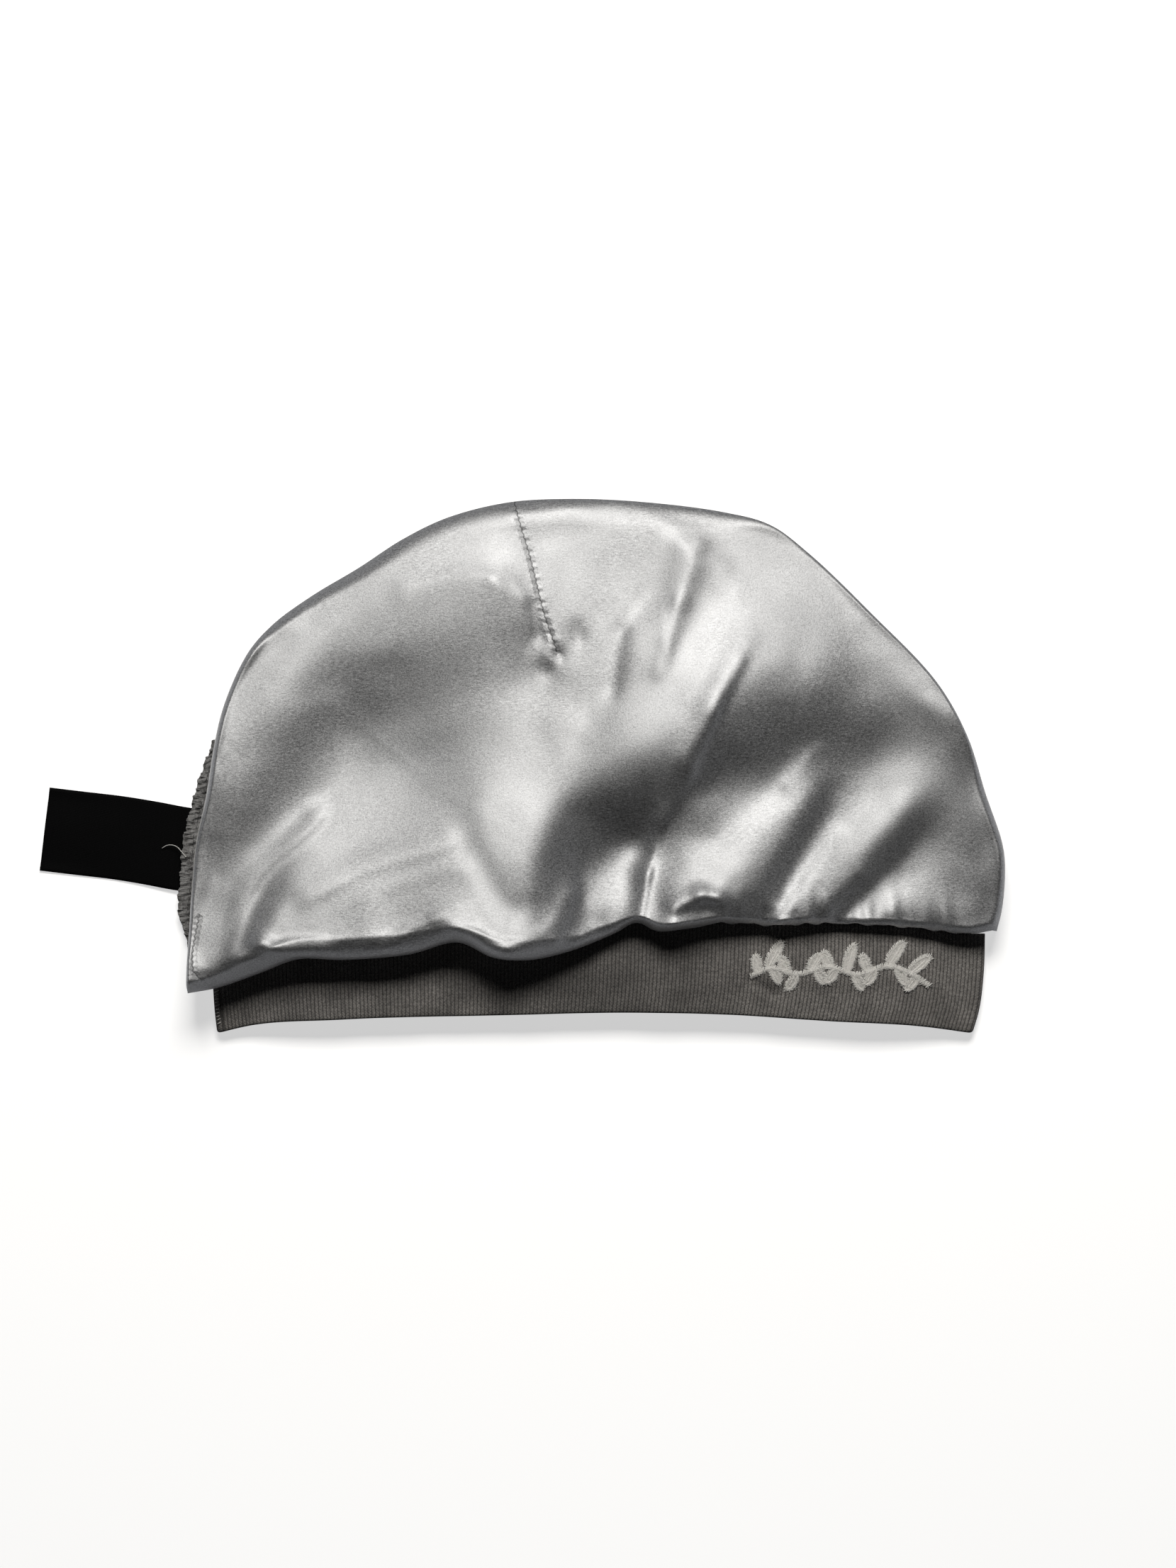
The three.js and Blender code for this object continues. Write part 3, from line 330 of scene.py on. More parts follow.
    (-70.0, -51.7, -56.7, -51.8, 3.00, 3.00, -0.70, 0.54),
    (-42.0, 28.8, -39.2, 28.9, 4.64, 6.72, -0.36, -0.12),
    (58.1, 16.5, 50.9, -1.6, 1.70, 5.00, 0.60, 0.00),
    (15.7, -39.0, 10.0, -54.1, 1.70, 4.00, 0.70, 0.00),
    (-51.4, -53.8, -34.9, -48.5, 3.48, 3.00, -0.60, -1.01),
    (93.3, -8.1, 70.8, -53.3, 5.25, 3.47, -0.43, 0.43),
    (92.5, -40.4, 101.0, -32.5, 3.00, 4.32, 0.51, -0.24),
    (49.6, -39.8, 79.9, -22.7, 3.73, 7.09, 0.34, -8.60),
    (-77.9, -55.7, -74.0, -52.7, 3.21, 3.00, -0.58, -0.87),
    (7.2, 29.5, 8.1, 28.6, 3.00, 3.00, -0.60, 0.00),
    (-33.7, 53.3, -1.3, 52.7, 3.00, 6.28, 0.38, 4.25),
    (50.9, -1.6, 42.6, -15.9, 1.80, 5.00, 0.50, 0.00),
    (42.6, -15.9, 37.7, -32.0, 1.80, 5.00, 0.50, 0.00),
    (-76.8, -52.7, -61.9, -57.6, 3.00, 1.80, 0.70, 0.00),
    (65.8, 12.3, 56.6, -4.5, 2.96, 14.48, -0.18, 1.95),
    (65.7, 30.7, 58.1, 16.5, 1.70, 5.00, 0.45, 0.00),
    (63.5, 30.1, 67.3, 36.0, 5.68, 3.12, 0.34, 0.67),
    (-37.9, -39.9, -21.3, -34.6, 3.20, 6.50, -0.30, 0.00),
    (-9.3, 58.0, -10.3, 56.6, 3.14, 3.00, -0.47, -0.51),
    (-1.5, -47.0, 2.3, -38.5, 5.77, 3.32, 0.30, -2.80),
    (-64.3, 22.4, -56.0, 24.5, 6.82, 4.18, -0.25, 0.12),
    (-2.8, 49.6, 0.7, 53.2, 3.81, 4.56, -0.32, 1.37),
    (15.5, -29.9, 15.7, -39.0, 1.60, 4.00, 0.45, 0.00),
    (-82.8, -57.3, -76.8, -52.7, 3.00, 2.00, 0.50, 0.00),
    (53.5, 20.1, 51.2, -10.1, 5.03, 5.32, 0.23, 0.25),
    (63.6, -36.1, 70.1, -54.7, 3.30, 4.50, -0.31, 5.77),
    (74.6, 22.8, 84.7, 35.4, 4.85, 7.30, -0.19, -3.53),
    (58.1, -39.5, 57.7, -44.1, 2.60, 1.90, 0.50, 0.00),
    (48.5, -43.3, 56.6, -42.2, 2.20, 2.20, -0.50, 0.00),
    (11.1, 34.1, 11.9, 33.3, 1.70, 1.70, -0.60, 0.00),
    (3.4, 47.8, 6.2, 38.8, 2.20, 2.00, -0.45, 0.00),
    (47.7, 49.0, 41.3, 28.4, 3.00, 2.40, 0.35, 0.00),
    (17.0, 41.0, 17.9, 38.4, 2.40, 2.40, -0.35, 0.00),
    (30.4, 39.7, 27.7, 23.5, 2.60, 3.00, -0.30, 0.00),
    (53.6, 66.5, 47.7, 49.0, 3.00, 2.40, 0.30, 0.00),
    (87.9, 4.4, 80.0, -5.2, 3.00, 2.40, 0.30, 0.00),
    (95.3, -20.3, 77.4, -45.9, 3.00, 2.20, 0.30, 0.00),
    (26.5, 21.5, 35.5, 48.7, 3.00, 3.00, -0.16, 2.89),
    (-72.5, -53.8, -58.4, -54.3, 1.70, 1.70, 0.13, -2.39),
    (-54.8, -32.9, -82.5, -15.7, 3.07, 4.33, 0.06, -5.03),
]

# The dart's seam line, from the top edge down to the pinched point: x, y, z (unused)
DART = [
    (-1.9, 79.4, 0.0),
    (0.4, 71.0, 0.0),
    (2.6, 63.9, 0.0),
    (4.9, 54.8, 0.0),
    (7.2, 45.4, 0.0),
    (11.1, 34.1, 0.0),
]

# The fine seam line that shows above the low back corner: x, y, z (unused)
CORNER_LINE = [
    (-95.2, -45.0, 0.0),
    (-96.4, -52.0, 0.0),
    (-96.7, -58.0, 0.0),
    (-95.9, -61.6, 0.0),
    (-94.4, -63.0, 0.0),
]

# Dents of the band's upper layer: x0, y0, x1, y1, left, right, rise, bend
BAND_FOLDS = [
    (68.5, -63.9, 76.4, -68.9, 1.6, 1.2, -0.9, 0.0),
    (60.0, -66.0, 67.0, -62.0, 5.0, 4.0, 0.5, 0.0),
    (-40.0, -64.0, -20.0, -62.0, 9.0, 7.0, -0.7, 0.0),
    (20.0, -60.0, 44.0, -70.0, 8.0, 8.0, 0.6, 0.0),
    (104.0, -70.0, 124.0, -72.0, 6.0, 5.0, 0.5, 0.0),
    (74.0, -67.6, 112.0, -68.4, 2.6, 3.4, -0.55, 0.0),
    (72.0, -53.0, 120.0, -53.6, 3.0, 3.0, -0.35, 0.0),
    (71.0, -61.0, 122.0, -61.5, 7.0, 7.0, 0.45, 0.0),
]

# The loose thread end over the label.
THREAD_TAIL = [
    (-108.3, -24.8, 1.7),
    (-106.6, -23.9, 2.6),
    (-105.0, -23.8, 3.2),
    (-103.4, -24.4, 3.9),
    (-102.0, -25.8, 4.9),
    (-100.6, -27.4, 5.4),
]

# ---------------------------------------------------------------- curves
def smooth(x, lo, hi):
    t = np.clip((x - lo) / (hi - lo), 0, 1)
    return t * t * (3 - 2 * t)


def run_of(rows, count):
    """Table rows as a smooth run of evenly spaced points, through every row. Further columns follow along."""
    p = np.array(rows, float)
    out = []
    for i in range(len(p) - 1):
        a, b = p[i], p[i + 1]
        before = p[i - 1] if i else 2 * a - b
        after = p[i + 2] if i + 2 < len(p) else 2 * b - a
        t0, t1, t2 = (max(float(np.sum((v - u)[:3] ** 2)) ** 0.25, 1e-4) for u, v in ((before, a), (a, b), (b, after)))
        m1 = ((a - before) / t0 - (b - before) / (t0 + t1) + (b - a) / t1) * t1
        m2 = ((b - a) / t1 - (after - a) / (t1 + t2) + (after - b) / t2) * t1
        u = np.linspace(0, 1, 40, endpoint=False)[:, None]
        out.append(
            (2 * u**3 - 3 * u**2 + 1) * a + (u**3 - 2 * u**2 + u) * m1 + (-2 * u**3 + 3 * u**2) * b + (u**3 - u**2) * m2
        )
    out.append(p[-1:])
    d = np.concatenate(out)
    s = np.concatenate([[0], np.cumsum(np.linalg.norm(np.diff(d[:, :3], axis=0), axis=1))])
    t = np.linspace(0, s[-1], count + 1)
    return np.stack([np.interp(t, s, d[:, k]) for k in range(d.shape[1])], 1)


def curve_of(rows, key, value):
    """One column of a table as a smooth function of another."""
    r = sorted((row[key], row[value]) for row in rows)
    k, v = np.array([a for a, _ in r]), np.array([b for _, b in r])
    m = np.gradient(v, k) if len(k) > 2 else np.full(len(k), (v[-1] - v[0]) / (k[-1] - k[0]))

    def at(x):
        x = np.clip(x, k[0], k[-1])
        i = np.clip(np.searchsorted(k, x, side="right") - 1, 0, len(k) - 2)
        h = k[i + 1] - k[i]
        u = (x - k[i]) / h
        return (
            (2 * u**3 - 3 * u**2 + 1) * v[i]
            + (u**3 - 2 * u**2 + u) * m[i] * h
            + (-2 * u**3 + 3 * u**2) * v[i + 1]
            + (u**3 - u**2) * m[i + 1] * h
        )

    return at


def near(run, x, y):
    """Distance from points to a run, which side they are on, how far along, and the run's further columns there."""
    best = np.full(np.shape(x), 1e9)
    sign, along = np.zeros(np.shape(x)), np.zeros(np.shape(x))
    more = np.zeros(np.shape(x) + (run.shape[1] - 2,))
    s = 0.0
    for a, b in zip(run[:-1], run[1:]):
        dx, dy = b[0] - a[0], b[1] - a[1]
        ll = dx * dx + dy * dy
        t = np.clip(((x - a[0]) * dx + (y - a[1]) * dy) / ll, 0, 1)
        ox, oy = x - a[0] - t * dx, y - a[1] - t * dy
        d = np.hypot(ox, oy)
        m = d < best
        best = np.where(m, d, best)
        sign = np.where(m, np.sign(dx * oy - dy * ox), sign)
        along = np.where(m, s + t * math.sqrt(ll), along)
        more = np.where(m[..., None], a[2:] + (b[2:] - a[2:]) * t[..., None], more)
        s += math.sqrt(ll)
    return best, sign, along, more


EDGE = run_of(OUTLINE, 160)
HEM_RUN = run_of(HEM, 120)
mouth_edge = curve_of(MOUTH_EDGE, 0, 1)
band_back = curve_of(BAND_ENDS, 0, 1)
band_front = curve_of(BAND_ENDS, 0, 2)


def seam_line(x):
    return mouth_edge(np.clip(x, -92, 138)) + BAND_WIDTH


def band_top(x):
    s = np.abs(2 * (x - band_back(0)) / (band_front(0) - band_back(0)) - 1)
    return BAND_END_TOP + (BAND_TOP - BAND_END_TOP) * (1 - smooth(s, BAND_FLAT, 1.0) ** 1.2)


# ---------------------------------------------------------------- height of the lining
def fold(row, x, y):
    """A ridge or a valley along a bowed line, with a softer and a sharper flank."""
    x0, y0, x1, y1, left, right, rise, bend = row
    dx, dy = x1 - x0, y1 - y0
    length = max(math.hypot(dx, dy), 1e-3)
    t = np.clip(((x - x0) * dx + (y - y0) * dy) / length**2, 0, 1)
    bow = bend * np.sin(math.pi * t) ** 2 / length
    ox, oy = x - x0 - t * dx + dy * bow, y - y0 - t * dy - dx * bow
    d = np.sqrt(ox * ox + oy * oy) + 1e-6
    s = (oy * dx - ox * dy) / length / d
    w = left + (right - left) * (0.5 - 0.5 * s)
    return rise * np.exp(-((d / w) ** 2))


def lining_height(x, y, narrowest=0.0):
    d = near(EDGE, x, y)[0]
    z = PUFF["edge"] + PUFF["rise"] * (1 - np.exp(-d / PUFF["reach"]))
    for row in FOLDS:
        if row[6] > 0 and min(row[4], row[5]) < narrowest:
            continue
        z = z + fold(row, x, y)
    return LEAST + LEAST_SOFT * np.logaddexp(0, (z - LEAST) / LEAST_SOFT)


def round_edge(d, roll):
    return np.sqrt(1 - (1 - np.clip(d / roll, 0, 1)) ** 2 + 1e-9)


def gathers(x):
    """The small uneven gathers along the front part of the hem, from -1 to 1."""
    wave = 0.6 * np.sin(x * 0.76 + 1.1 * np.sin(x / 7.0)) + 0.4 * np.sin(x * 1.24 + 2.0)
    return wave * smooth(x, 52, 60) * (1 - smooth(x, 134, 141))


def hem_face(d, roll):
    """The hem: it turns up sharply at its very edge, then leans back to its crest."""
    t = np.clip(d / roll, 0, 1)
    return 0.3 * round_edge(d, HEM_TURN) + 0.7 * t * (1.5 - 0.5 * t)


def lining_top(x, y):
    """Upper face of the lining with its rolled edge."""
    de, _, _, ve = near(EDGE, x, y)
    dh, _, _, vh = near(HEM_RUN, x, y)
    rim = np.where(de < dh, ve[..., 0], vh[..., 0])
    e = round_edge(de, ve[..., 1]) * hem_face(dh, vh[..., 1])
    t = dh / GATHER_REACH
    return rim + (lining_height(x, y) - rim) * e + GATHER * gathers(x) * t * np.exp(1 - t)


# ---------------------------------------------------------------- meshes
def make(name, verts, faces, material, attributes=None):
    """A mesh object from points in millimetres, its faces turned outwards."""
    v = np.asarray(verts, float)
    vol = 0.0
    for f in faces:
        a = v[f[0]]
        for k in range(1, len(f) - 1):
            vol += float(np.dot(a, np.cross(v[f[k]], v[f[k + 1]])))
    if vol < 0:
        faces = [tuple(reversed(f)) for f in faces]
    mesh = bpy.data.meshes.new(name)
    mesh.from_pydata((v * MM).tolist(), [], [list(f) for f in faces])
    mesh.update()
    for key, values in (attributes or {}).items():
        values = np.asarray(values, np.float32)
        kind = "FLOAT" if values.ndim == 1 else "FLOAT_VECTOR"
        a = mesh.attributes.new(key, kind, "POINT")
        a.data.foreach_set("value" if values.ndim == 1 else "vector", values.ravel())
    mesh.polygons.foreach_set("use_smooth", [True] * len(mesh.polygons))
    mesh.materials.append(material)
    o = bpy.data.objects.new(name, mesh)
    bpy.context.scene.collection.objects.link(o)
    return o


def columns_of(n):
    """The bag's sections: from a short spine in the middle out to the rim, with the seam line where they cross it."""
    edge = run_of(OUTLINE, n["back"] + n["hem"] + n["front"])[:, :3]
    hem = run_of(HEM, n["hem"])[:, :3]
    rim = np.concatenate([edge, hem[1:-1]])
    k = np.concatenate([np.clip(np.arange(len(edge)) - n["back"], 0, n["hem"]), n["hem"] - 1 - np.arange(len(hem) - 2)])
    spine = np.stack([SPINE[0] + (SPINE[1] - SPINE[0]) * k / n["hem"], np.full(len(k), SPINE[2])], 1)
    d = rim[:, :2] - spine
    reach = np.linalg.norm(d, axis=1)
    d = d / reach[:, None]
    low = (np.arange(len(rim)) >= len(edge)) & (d[:, 1] < 0)
    reach = reach - np.where(low, GATHER_DEEP * (0.5 + 0.5 * gathers(rim[:, 0])) * smooth(rim[:, 0], 52, 60), 0)
    seam = np.full(len(k), np.nan)
    for i in range(len(k)):
        def past(r):
            x, y = spine[i] + d[i] * r
            return y < float(seam_line(x)) + GAP

        if d[i, 1] < 0 and past(reach[i]):
            lo, hi = 0.0, reach[i]
            for _ in range(30):
                mid = (lo + hi) / 2
                lo, hi = (lo, mid) if past(mid) else (mid, hi)
            x = spine[i, 0] + d[i, 0] * hi
            if band_back(0) - 0.8 < x < band_front(0) + 0.8:
                seam[i] = hi
    return {"spine": spine, "dir": d, "reach": reach, "seam": seam, "rim": rim[:, 2], "k": k, "n": n}


def at(c, r):
    """Plan positions at distances r (rings, columns) along the columns."""
    return c["spine"][None] + c["dir"][None] * r[..., None]


def lining_grid(c, rings):
    """Rings of the lining: over the top to the rim, round under it, and back along the floor to the spine."""
    reach, seam, rim = c["reach"], c["seam"], c["rim"]
    has = ~np.isnan(seam)
    seam0 = np.where(has, seam, 0)
    under = np.maximum(ROLL_UNDER, 0.7 * rim)
    t = np.linspace(0, 1, rings["top"] + 1)
    r = reach[None] * (1 - (1 - t) ** 1.45)[:, None]
    p = at(c, r)
    top = np.concatenate([p, lining_top(p[..., 0], p[..., 1])[..., None]], -1)
    grid = [row for row in top]
    grid[-1][:, 2] = rim
    for u in range(1, rings["under"] + 1):
        a = math.pi / 2 * min(1, u / (rings["under"] - 1))
        wide = np.minimum(ROLL_UNDER, 0.6 * (reach - seam0))
        rr = reach - np.where(has, wide, under) * (1 - math.cos(a))
        if u == rings["under"]:
            rr = np.where(has, seam0, rr - 1.5)
        q = at(c, rr[None])[0]
        low = np.where(has, np.minimum(band_top(q[:, 0]) + OVER_BAND, rim - 0.6), 0)
        grid.append(np.concatenate([q, (rim + (low - rim) * math.sin(a))[:, None]], 1))
    start = np.where(has, seam0, reach - under - 2.5)
    for u in range(rings["low"] + 1):
        q = at(c, (start * (1 - u / rings["low"]))[None])[0]
        grid.append(np.concatenate([q, np.zeros((len(q), 1))], 1))
    return np.array(grid)


def shell_grid(c, rings):
    """The shell inside it, a little smaller, down to the band's two layers at the seam line."""
    reach, seam, rim = c["reach"], c["seam"], c["rim"]
    has = ~np.isnan(seam)
    end = np.where(has, np.where(has, seam, 0), reach - SHELL_SLACK)
    low = np.minimum(rim, SHELL_RIM)

    def squeezed(r):
        q = at(c, r)
        x = SHELL_MIDDLE + (q[..., 0] - SHELL_MIDDLE) * SHELL_SHARE
        # being narrower, it meets the seam line further in, where that may run higher
        lift = np.maximum(0, seam_line(x) - seam_line(q[..., 0])) + SHELL_CLEAR
        q[..., 1] += lift * (1 - smooth(q[..., 1] - seam_line(q[..., 0]), 0, 24))
        q[..., 0] = x
        return q

    t = np.linspace(0, 1, rings["top"] + 1)
    r = end[None] * np.sin(t * math.pi / 2)[:, None]
    p = squeezed(r)
    cover = np.minimum(lining_height(p[..., 0], p[..., 1], 9.0), lining_top(p[..., 0], p[..., 1]) + 0.6)
    h = cover - (SHELL_SAG_THIN + (SHELL_SAG - SHELL_SAG_THIN) * smooth(cover, 8, 12))
    left = end[None] - r
    meet = band_top(p[..., 0]) + SHELL_DROP
    z = np.where(
        has[None],
        meet + (h - meet) * smooth(left, 0, 14),
        low[None] + (h - low[None]) * round_edge(left, ROLL),
    )
    grid = [np.concatenate([a, b[:, None]], 1) for a, b in zip(p, z)]
    for u in range(1, rings["under"] + 1):
        a = math.pi / 2 * min(1, u / (rings["under"] - 1))
        rr = np.where(has, end, end - ROLL_UNDER * (1 - math.cos(a)) - (1.5 if u == rings["under"] else 0))
        q = squeezed(rr[None])[0]
        z = np.where(has, band_top(q[:, 0]) + SHELL_DROP - 0.1 * u, low * (1 - math.sin(a)))
        grid.append(np.concatenate([q, z[:, None]], 1))
    start = np.where(has, end, end - ROLL_UNDER - 2.5)
    for u in range(rings["low"] + 1):
        q = squeezed((start * (1 - u / rings["low"]))[None])[0]
        grid.append(np.concatenate([q, np.zeros((len(q), 1))], 1))
    return np.array(grid)


def bag(name, c, rings, grid, skin, wall, material, attributes=None):
    """A bag's wall: its outer and inner face, joined round the open ring of faces at the mouth."""
    rows, cols = grid.shape[:2]
    e = np.roll(grid, -1, 1) - np.roll(grid, 1, 1)
    s = np.zeros_like(grid)
    s[1:-1] = grid[2:] - grid[:-2]
    nrm = np.cross(e, s)
    ln = np.linalg.norm(nrm, axis=-1, keepdims=True)
    nrm = np.where(ln > 1e-9, nrm / np.maximum(ln, 1e-9), (0, 0, 1.0))
    nrm[0], nrm[-1] = (0, 0, 1.0), (0, 0, -1.0)
    n = c["n"]
    verts, sides = [], []
    for by in (skin, skin + wall):
        g = grid - nrm * by
        start = sum(len(v) for v in verts)
        spine = slice(n["back"], n["back"] + n["hem"] + 1)
        verts += [g[0, spine], g[1:-1].reshape(-1, 3), g[-1, spine]]
        index = np.zeros((rows, cols), int)
        index[0] = start + c["k"]
        index[1:-1] = start + n["hem"] + 1 + np.arange((rows - 2) * cols).reshape(rows - 2, cols)
        index[-1] = start + n["hem"] + 1 + (rows - 2) * cols + c["k"]
        sides.append(index)
    o, i = sides
    mouth = rings["top"] + rings["under"]
    has = ~np.isnan(c["seam"])
    opened = has & np.roll(has, -1)
    faces = []

    def add(*f):
        u = [v for k, v in enumerate(f) if v != f[(k + 1) % len(f)]]
        if len(u) > 2:
            faces.append(u)

    for r in range(rows - 1):
        for k in range(cols):
            j = (k + 1) % cols
            if r == mouth and opened[k]:
                continue
            add(int(o[r + 1, k]), int(o[r + 1, j]), int(o[r, j]), int(o[r, k]))
            add(int(i[r, k]), int(i[r, j]), int(i[r + 1, j]), int(i[r + 1, k]))
    m = mouth
    for k in range(cols):
        if not opened[k]:
            continue
        j = (k + 1) % cols
        add(int(o[m, k]), int(i[m, k]), int(i[m, j]), int(o[m, j]))
        add(int(o[m + 1, k]), int(o[m + 1, j]), int(i[m + 1, j]), int(i[m + 1, k]))
        if not opened[k - 1]:
            add(int(o[m, k]), int(o[m + 1, k]), int(i[m + 1, k]), int(i[m, k]))
        if not opened[j]:
            add(int(o[m, j]), int(i[m, j]), int(i[m + 1, j]), int(o[m + 1, j]))
    v = np.concatenate(verts)
    return make(name, v, faces, material, attributes(v) if attributes else None)


def grid_faces(rows, cols, start=0, loop_rows=False, loop_cols=False):
    """Quads over a grid of points numbered row by row."""
    faces = []
    for r in range(rows if loop_rows else rows - 1):
        for k in range(cols if loop_cols else cols - 1):
            a, b = r * cols + k, r * cols + (k + 1) % cols
            c, d = ((r + 1) % rows) * cols + (k + 1) % cols, ((r + 1) % rows) * cols + k
            faces.append((start + a, start + b, start + c, start + d))
    return faces


class Strands:
    """Many short threads gathered into one mesh."""

    def __init__(self, sides=6):
        self.v, self.f, self.along, self.n, self.sides = [], [], [], 0, sides

    def add(self, points, radius, squash=1.0, taper=0.0):
        p = np.asarray(points, float)
        t = np.gradient(p, axis=0)
        t /= np.maximum(np.linalg.norm(t, axis=1, keepdims=True), 1e-9)
        up = np.where(np.abs(t[:, 2:3]) > 0.9, (1.0, 0, 0), (0, 0, 1.0))
        side = np.cross(t, up)
        side /= np.maximum(np.linalg.norm(side, axis=1, keepdims=True), 1e-9)
        over = np.cross(side, t)
        s = np.concatenate([[0], np.cumsum(np.linalg.norm(np.diff(p, axis=0), axis=1))])
        r = np.full(len(p), float(radius))
        if taper:
            u = np.linspace(0, 1, len(p))
            r = r * (1 - taper * (1 - np.clip(np.minimum(u, 1 - u) * 5, 0, 1)))
        m = self.sides
        a = np.arange(m) * 2 * math.pi / m
        ring = (
            p[:, None]
            + side[:, None] * (np.cos(a)[None, :, None] * r[:, None, None])
            + over[:, None] * (np.sin(a)[None, :, None] * r[:, None, None] * squash)
        )
        self.v.append(ring.reshape(-1, 3))
        self.along.append(np.repeat(s, m))
        self.f += grid_faces(len(p), m, self.n, loop_cols=True)
        last = self.n + (len(p) - 1) * m
        self.f.append(tuple(self.n + k for k in reversed(range(m))))
        self.f.append(tuple(last + k for k in range(m)))
        self.n += len(p) * m

    def mesh(self, name, material):
        return make(name, np.concatenate(self.v), self.f, material, {"along": np.concatenate(self.along)})


# ---------------------------------------------------------------- material helpers
class Look:
    def __init__(self, name, colour, rough, metallic=0.0):
        self.m = bpy.data.materials.new(name)
        self.m.use_nodes = True
        self.t = self.m.node_tree
        self.b = self.t.nodes["Principled BSDF"]
        self.b.inputs["Base Color"].default_value = (*colour, 1)
        self.b.inputs["Roughness"].default_value = rough
        self.b.inputs["Metallic"].default_value = metallic
        self.height = None

    def node(self, kind, **values):
        n = self.t.nodes.new(kind)
        for k, v in values.items():
            setattr(n, k, v)
        return n

    def link(self, a, b):
        self.t.links.new(a, b)

    def math(self, op, a, b=None, c=None):
        n = self.node("ShaderNodeMath", operation=op)
        for i, v in enumerate((a, b, c)):
            if v is None:
                continue
            if isinstance(v, (int, float)):
                n.inputs[i].default_value = v
            else:
                self.link(v, n.inputs[i])
        return n.outputs[0]

    def place(self, scale=(1, 1, 1), turn=(0, 0, 0), attribute=None):
        """A vector in millimetres, from the object's own coordinates or from a vector attribute that is in millimetres."""
        if attribute:
            src = self.node("ShaderNodeAttribute", attribute_name=attribute).outputs["Vector"]
            k = 1.0
        else:
            src = self.node("ShaderNodeTexCoord").outputs["Object"]
            k = 1000.0
        m = self.node("ShaderNodeMapping")
        m.inputs["Scale"].default_value = tuple(s * k for s in scale)
        m.inputs["Rotation"].default_value = turn
        self.link(src, m.inputs["Vector"])
        return m.outputs["Vector"]

    def noise(self, vector, scale=1.0, detail=2.0, rough=0.5):
        n = self.node("ShaderNodeTexNoise")
        n.inputs["Scale"].default_value = scale
        n.inputs["Detail"].default_value = detail
        n.inputs["Roughness"].default_value = rough
        self.link(vector, n.inputs["Vector"])
        return n.outputs["Fac"]

    def ramp(self, value, lo, hi, to_lo, to_hi):
        n = self.node("ShaderNodeMapRange")
        n.inputs["From Min"].default_value, n.inputs["From Max"].default_value = lo, hi
        n.inputs["To Min"].default_value, n.inputs["To Max"].default_value = to_lo, to_hi
        self.link(value, n.inputs["Value"])
        return n.outputs["Result"]

    def attribute(self, name):
        return self.node("ShaderNodeAttribute", attribute_name=name).outputs["Fac"]

    def colours(self, value, stops):
        n = self.node("ShaderNodeValToRGB")
        while len(n.color_ramp.elements) < len(stops):
            n.color_ramp.elements.new(0.5)
        for e, (p, c) in zip(n.color_ramp.elements, stops):
            e.position, e.color = p, (*c, 1)
        self.link(value, n.inputs["Fac"])
        return n.outputs["Color"]

    def mix(self, fac, a, b, kind="MIX"):
        n = self.node("ShaderNodeMix", data_type="RGBA", blend_type=kind)
        for i, v in ((0, fac), (6, a), (7, b)):
            if isinstance(v, (int, float)):
                n.inputs[i].default_value = v
            elif isinstance(v, tuple):
                n.inputs[i].default_value = (*v, 1)
            else:
                self.link(v, n.inputs[i])
        return n.outputs[2]

    def colour(self, socket):
        self.link(socket, self.b.inputs["Base Color"])

    def rough(self, socket):
        self.link(socket, self.b.inputs["Roughness"])

    def bump(self, height, strength=1.0):
        """Bump from a height in millimetres."""
        n = self.node("ShaderNodeBump")
        n.inputs["Distance"].default_value = MM
        n.inputs["Strength"].default_value = strength
        self.link(height, n.inputs["Height"])
        if self.height is not None:
            self.link(self.height, n.inputs["Normal"])
        self.height = n.outputs["Normal"]
        self.link(self.height, self.b.inputs["Normal"])


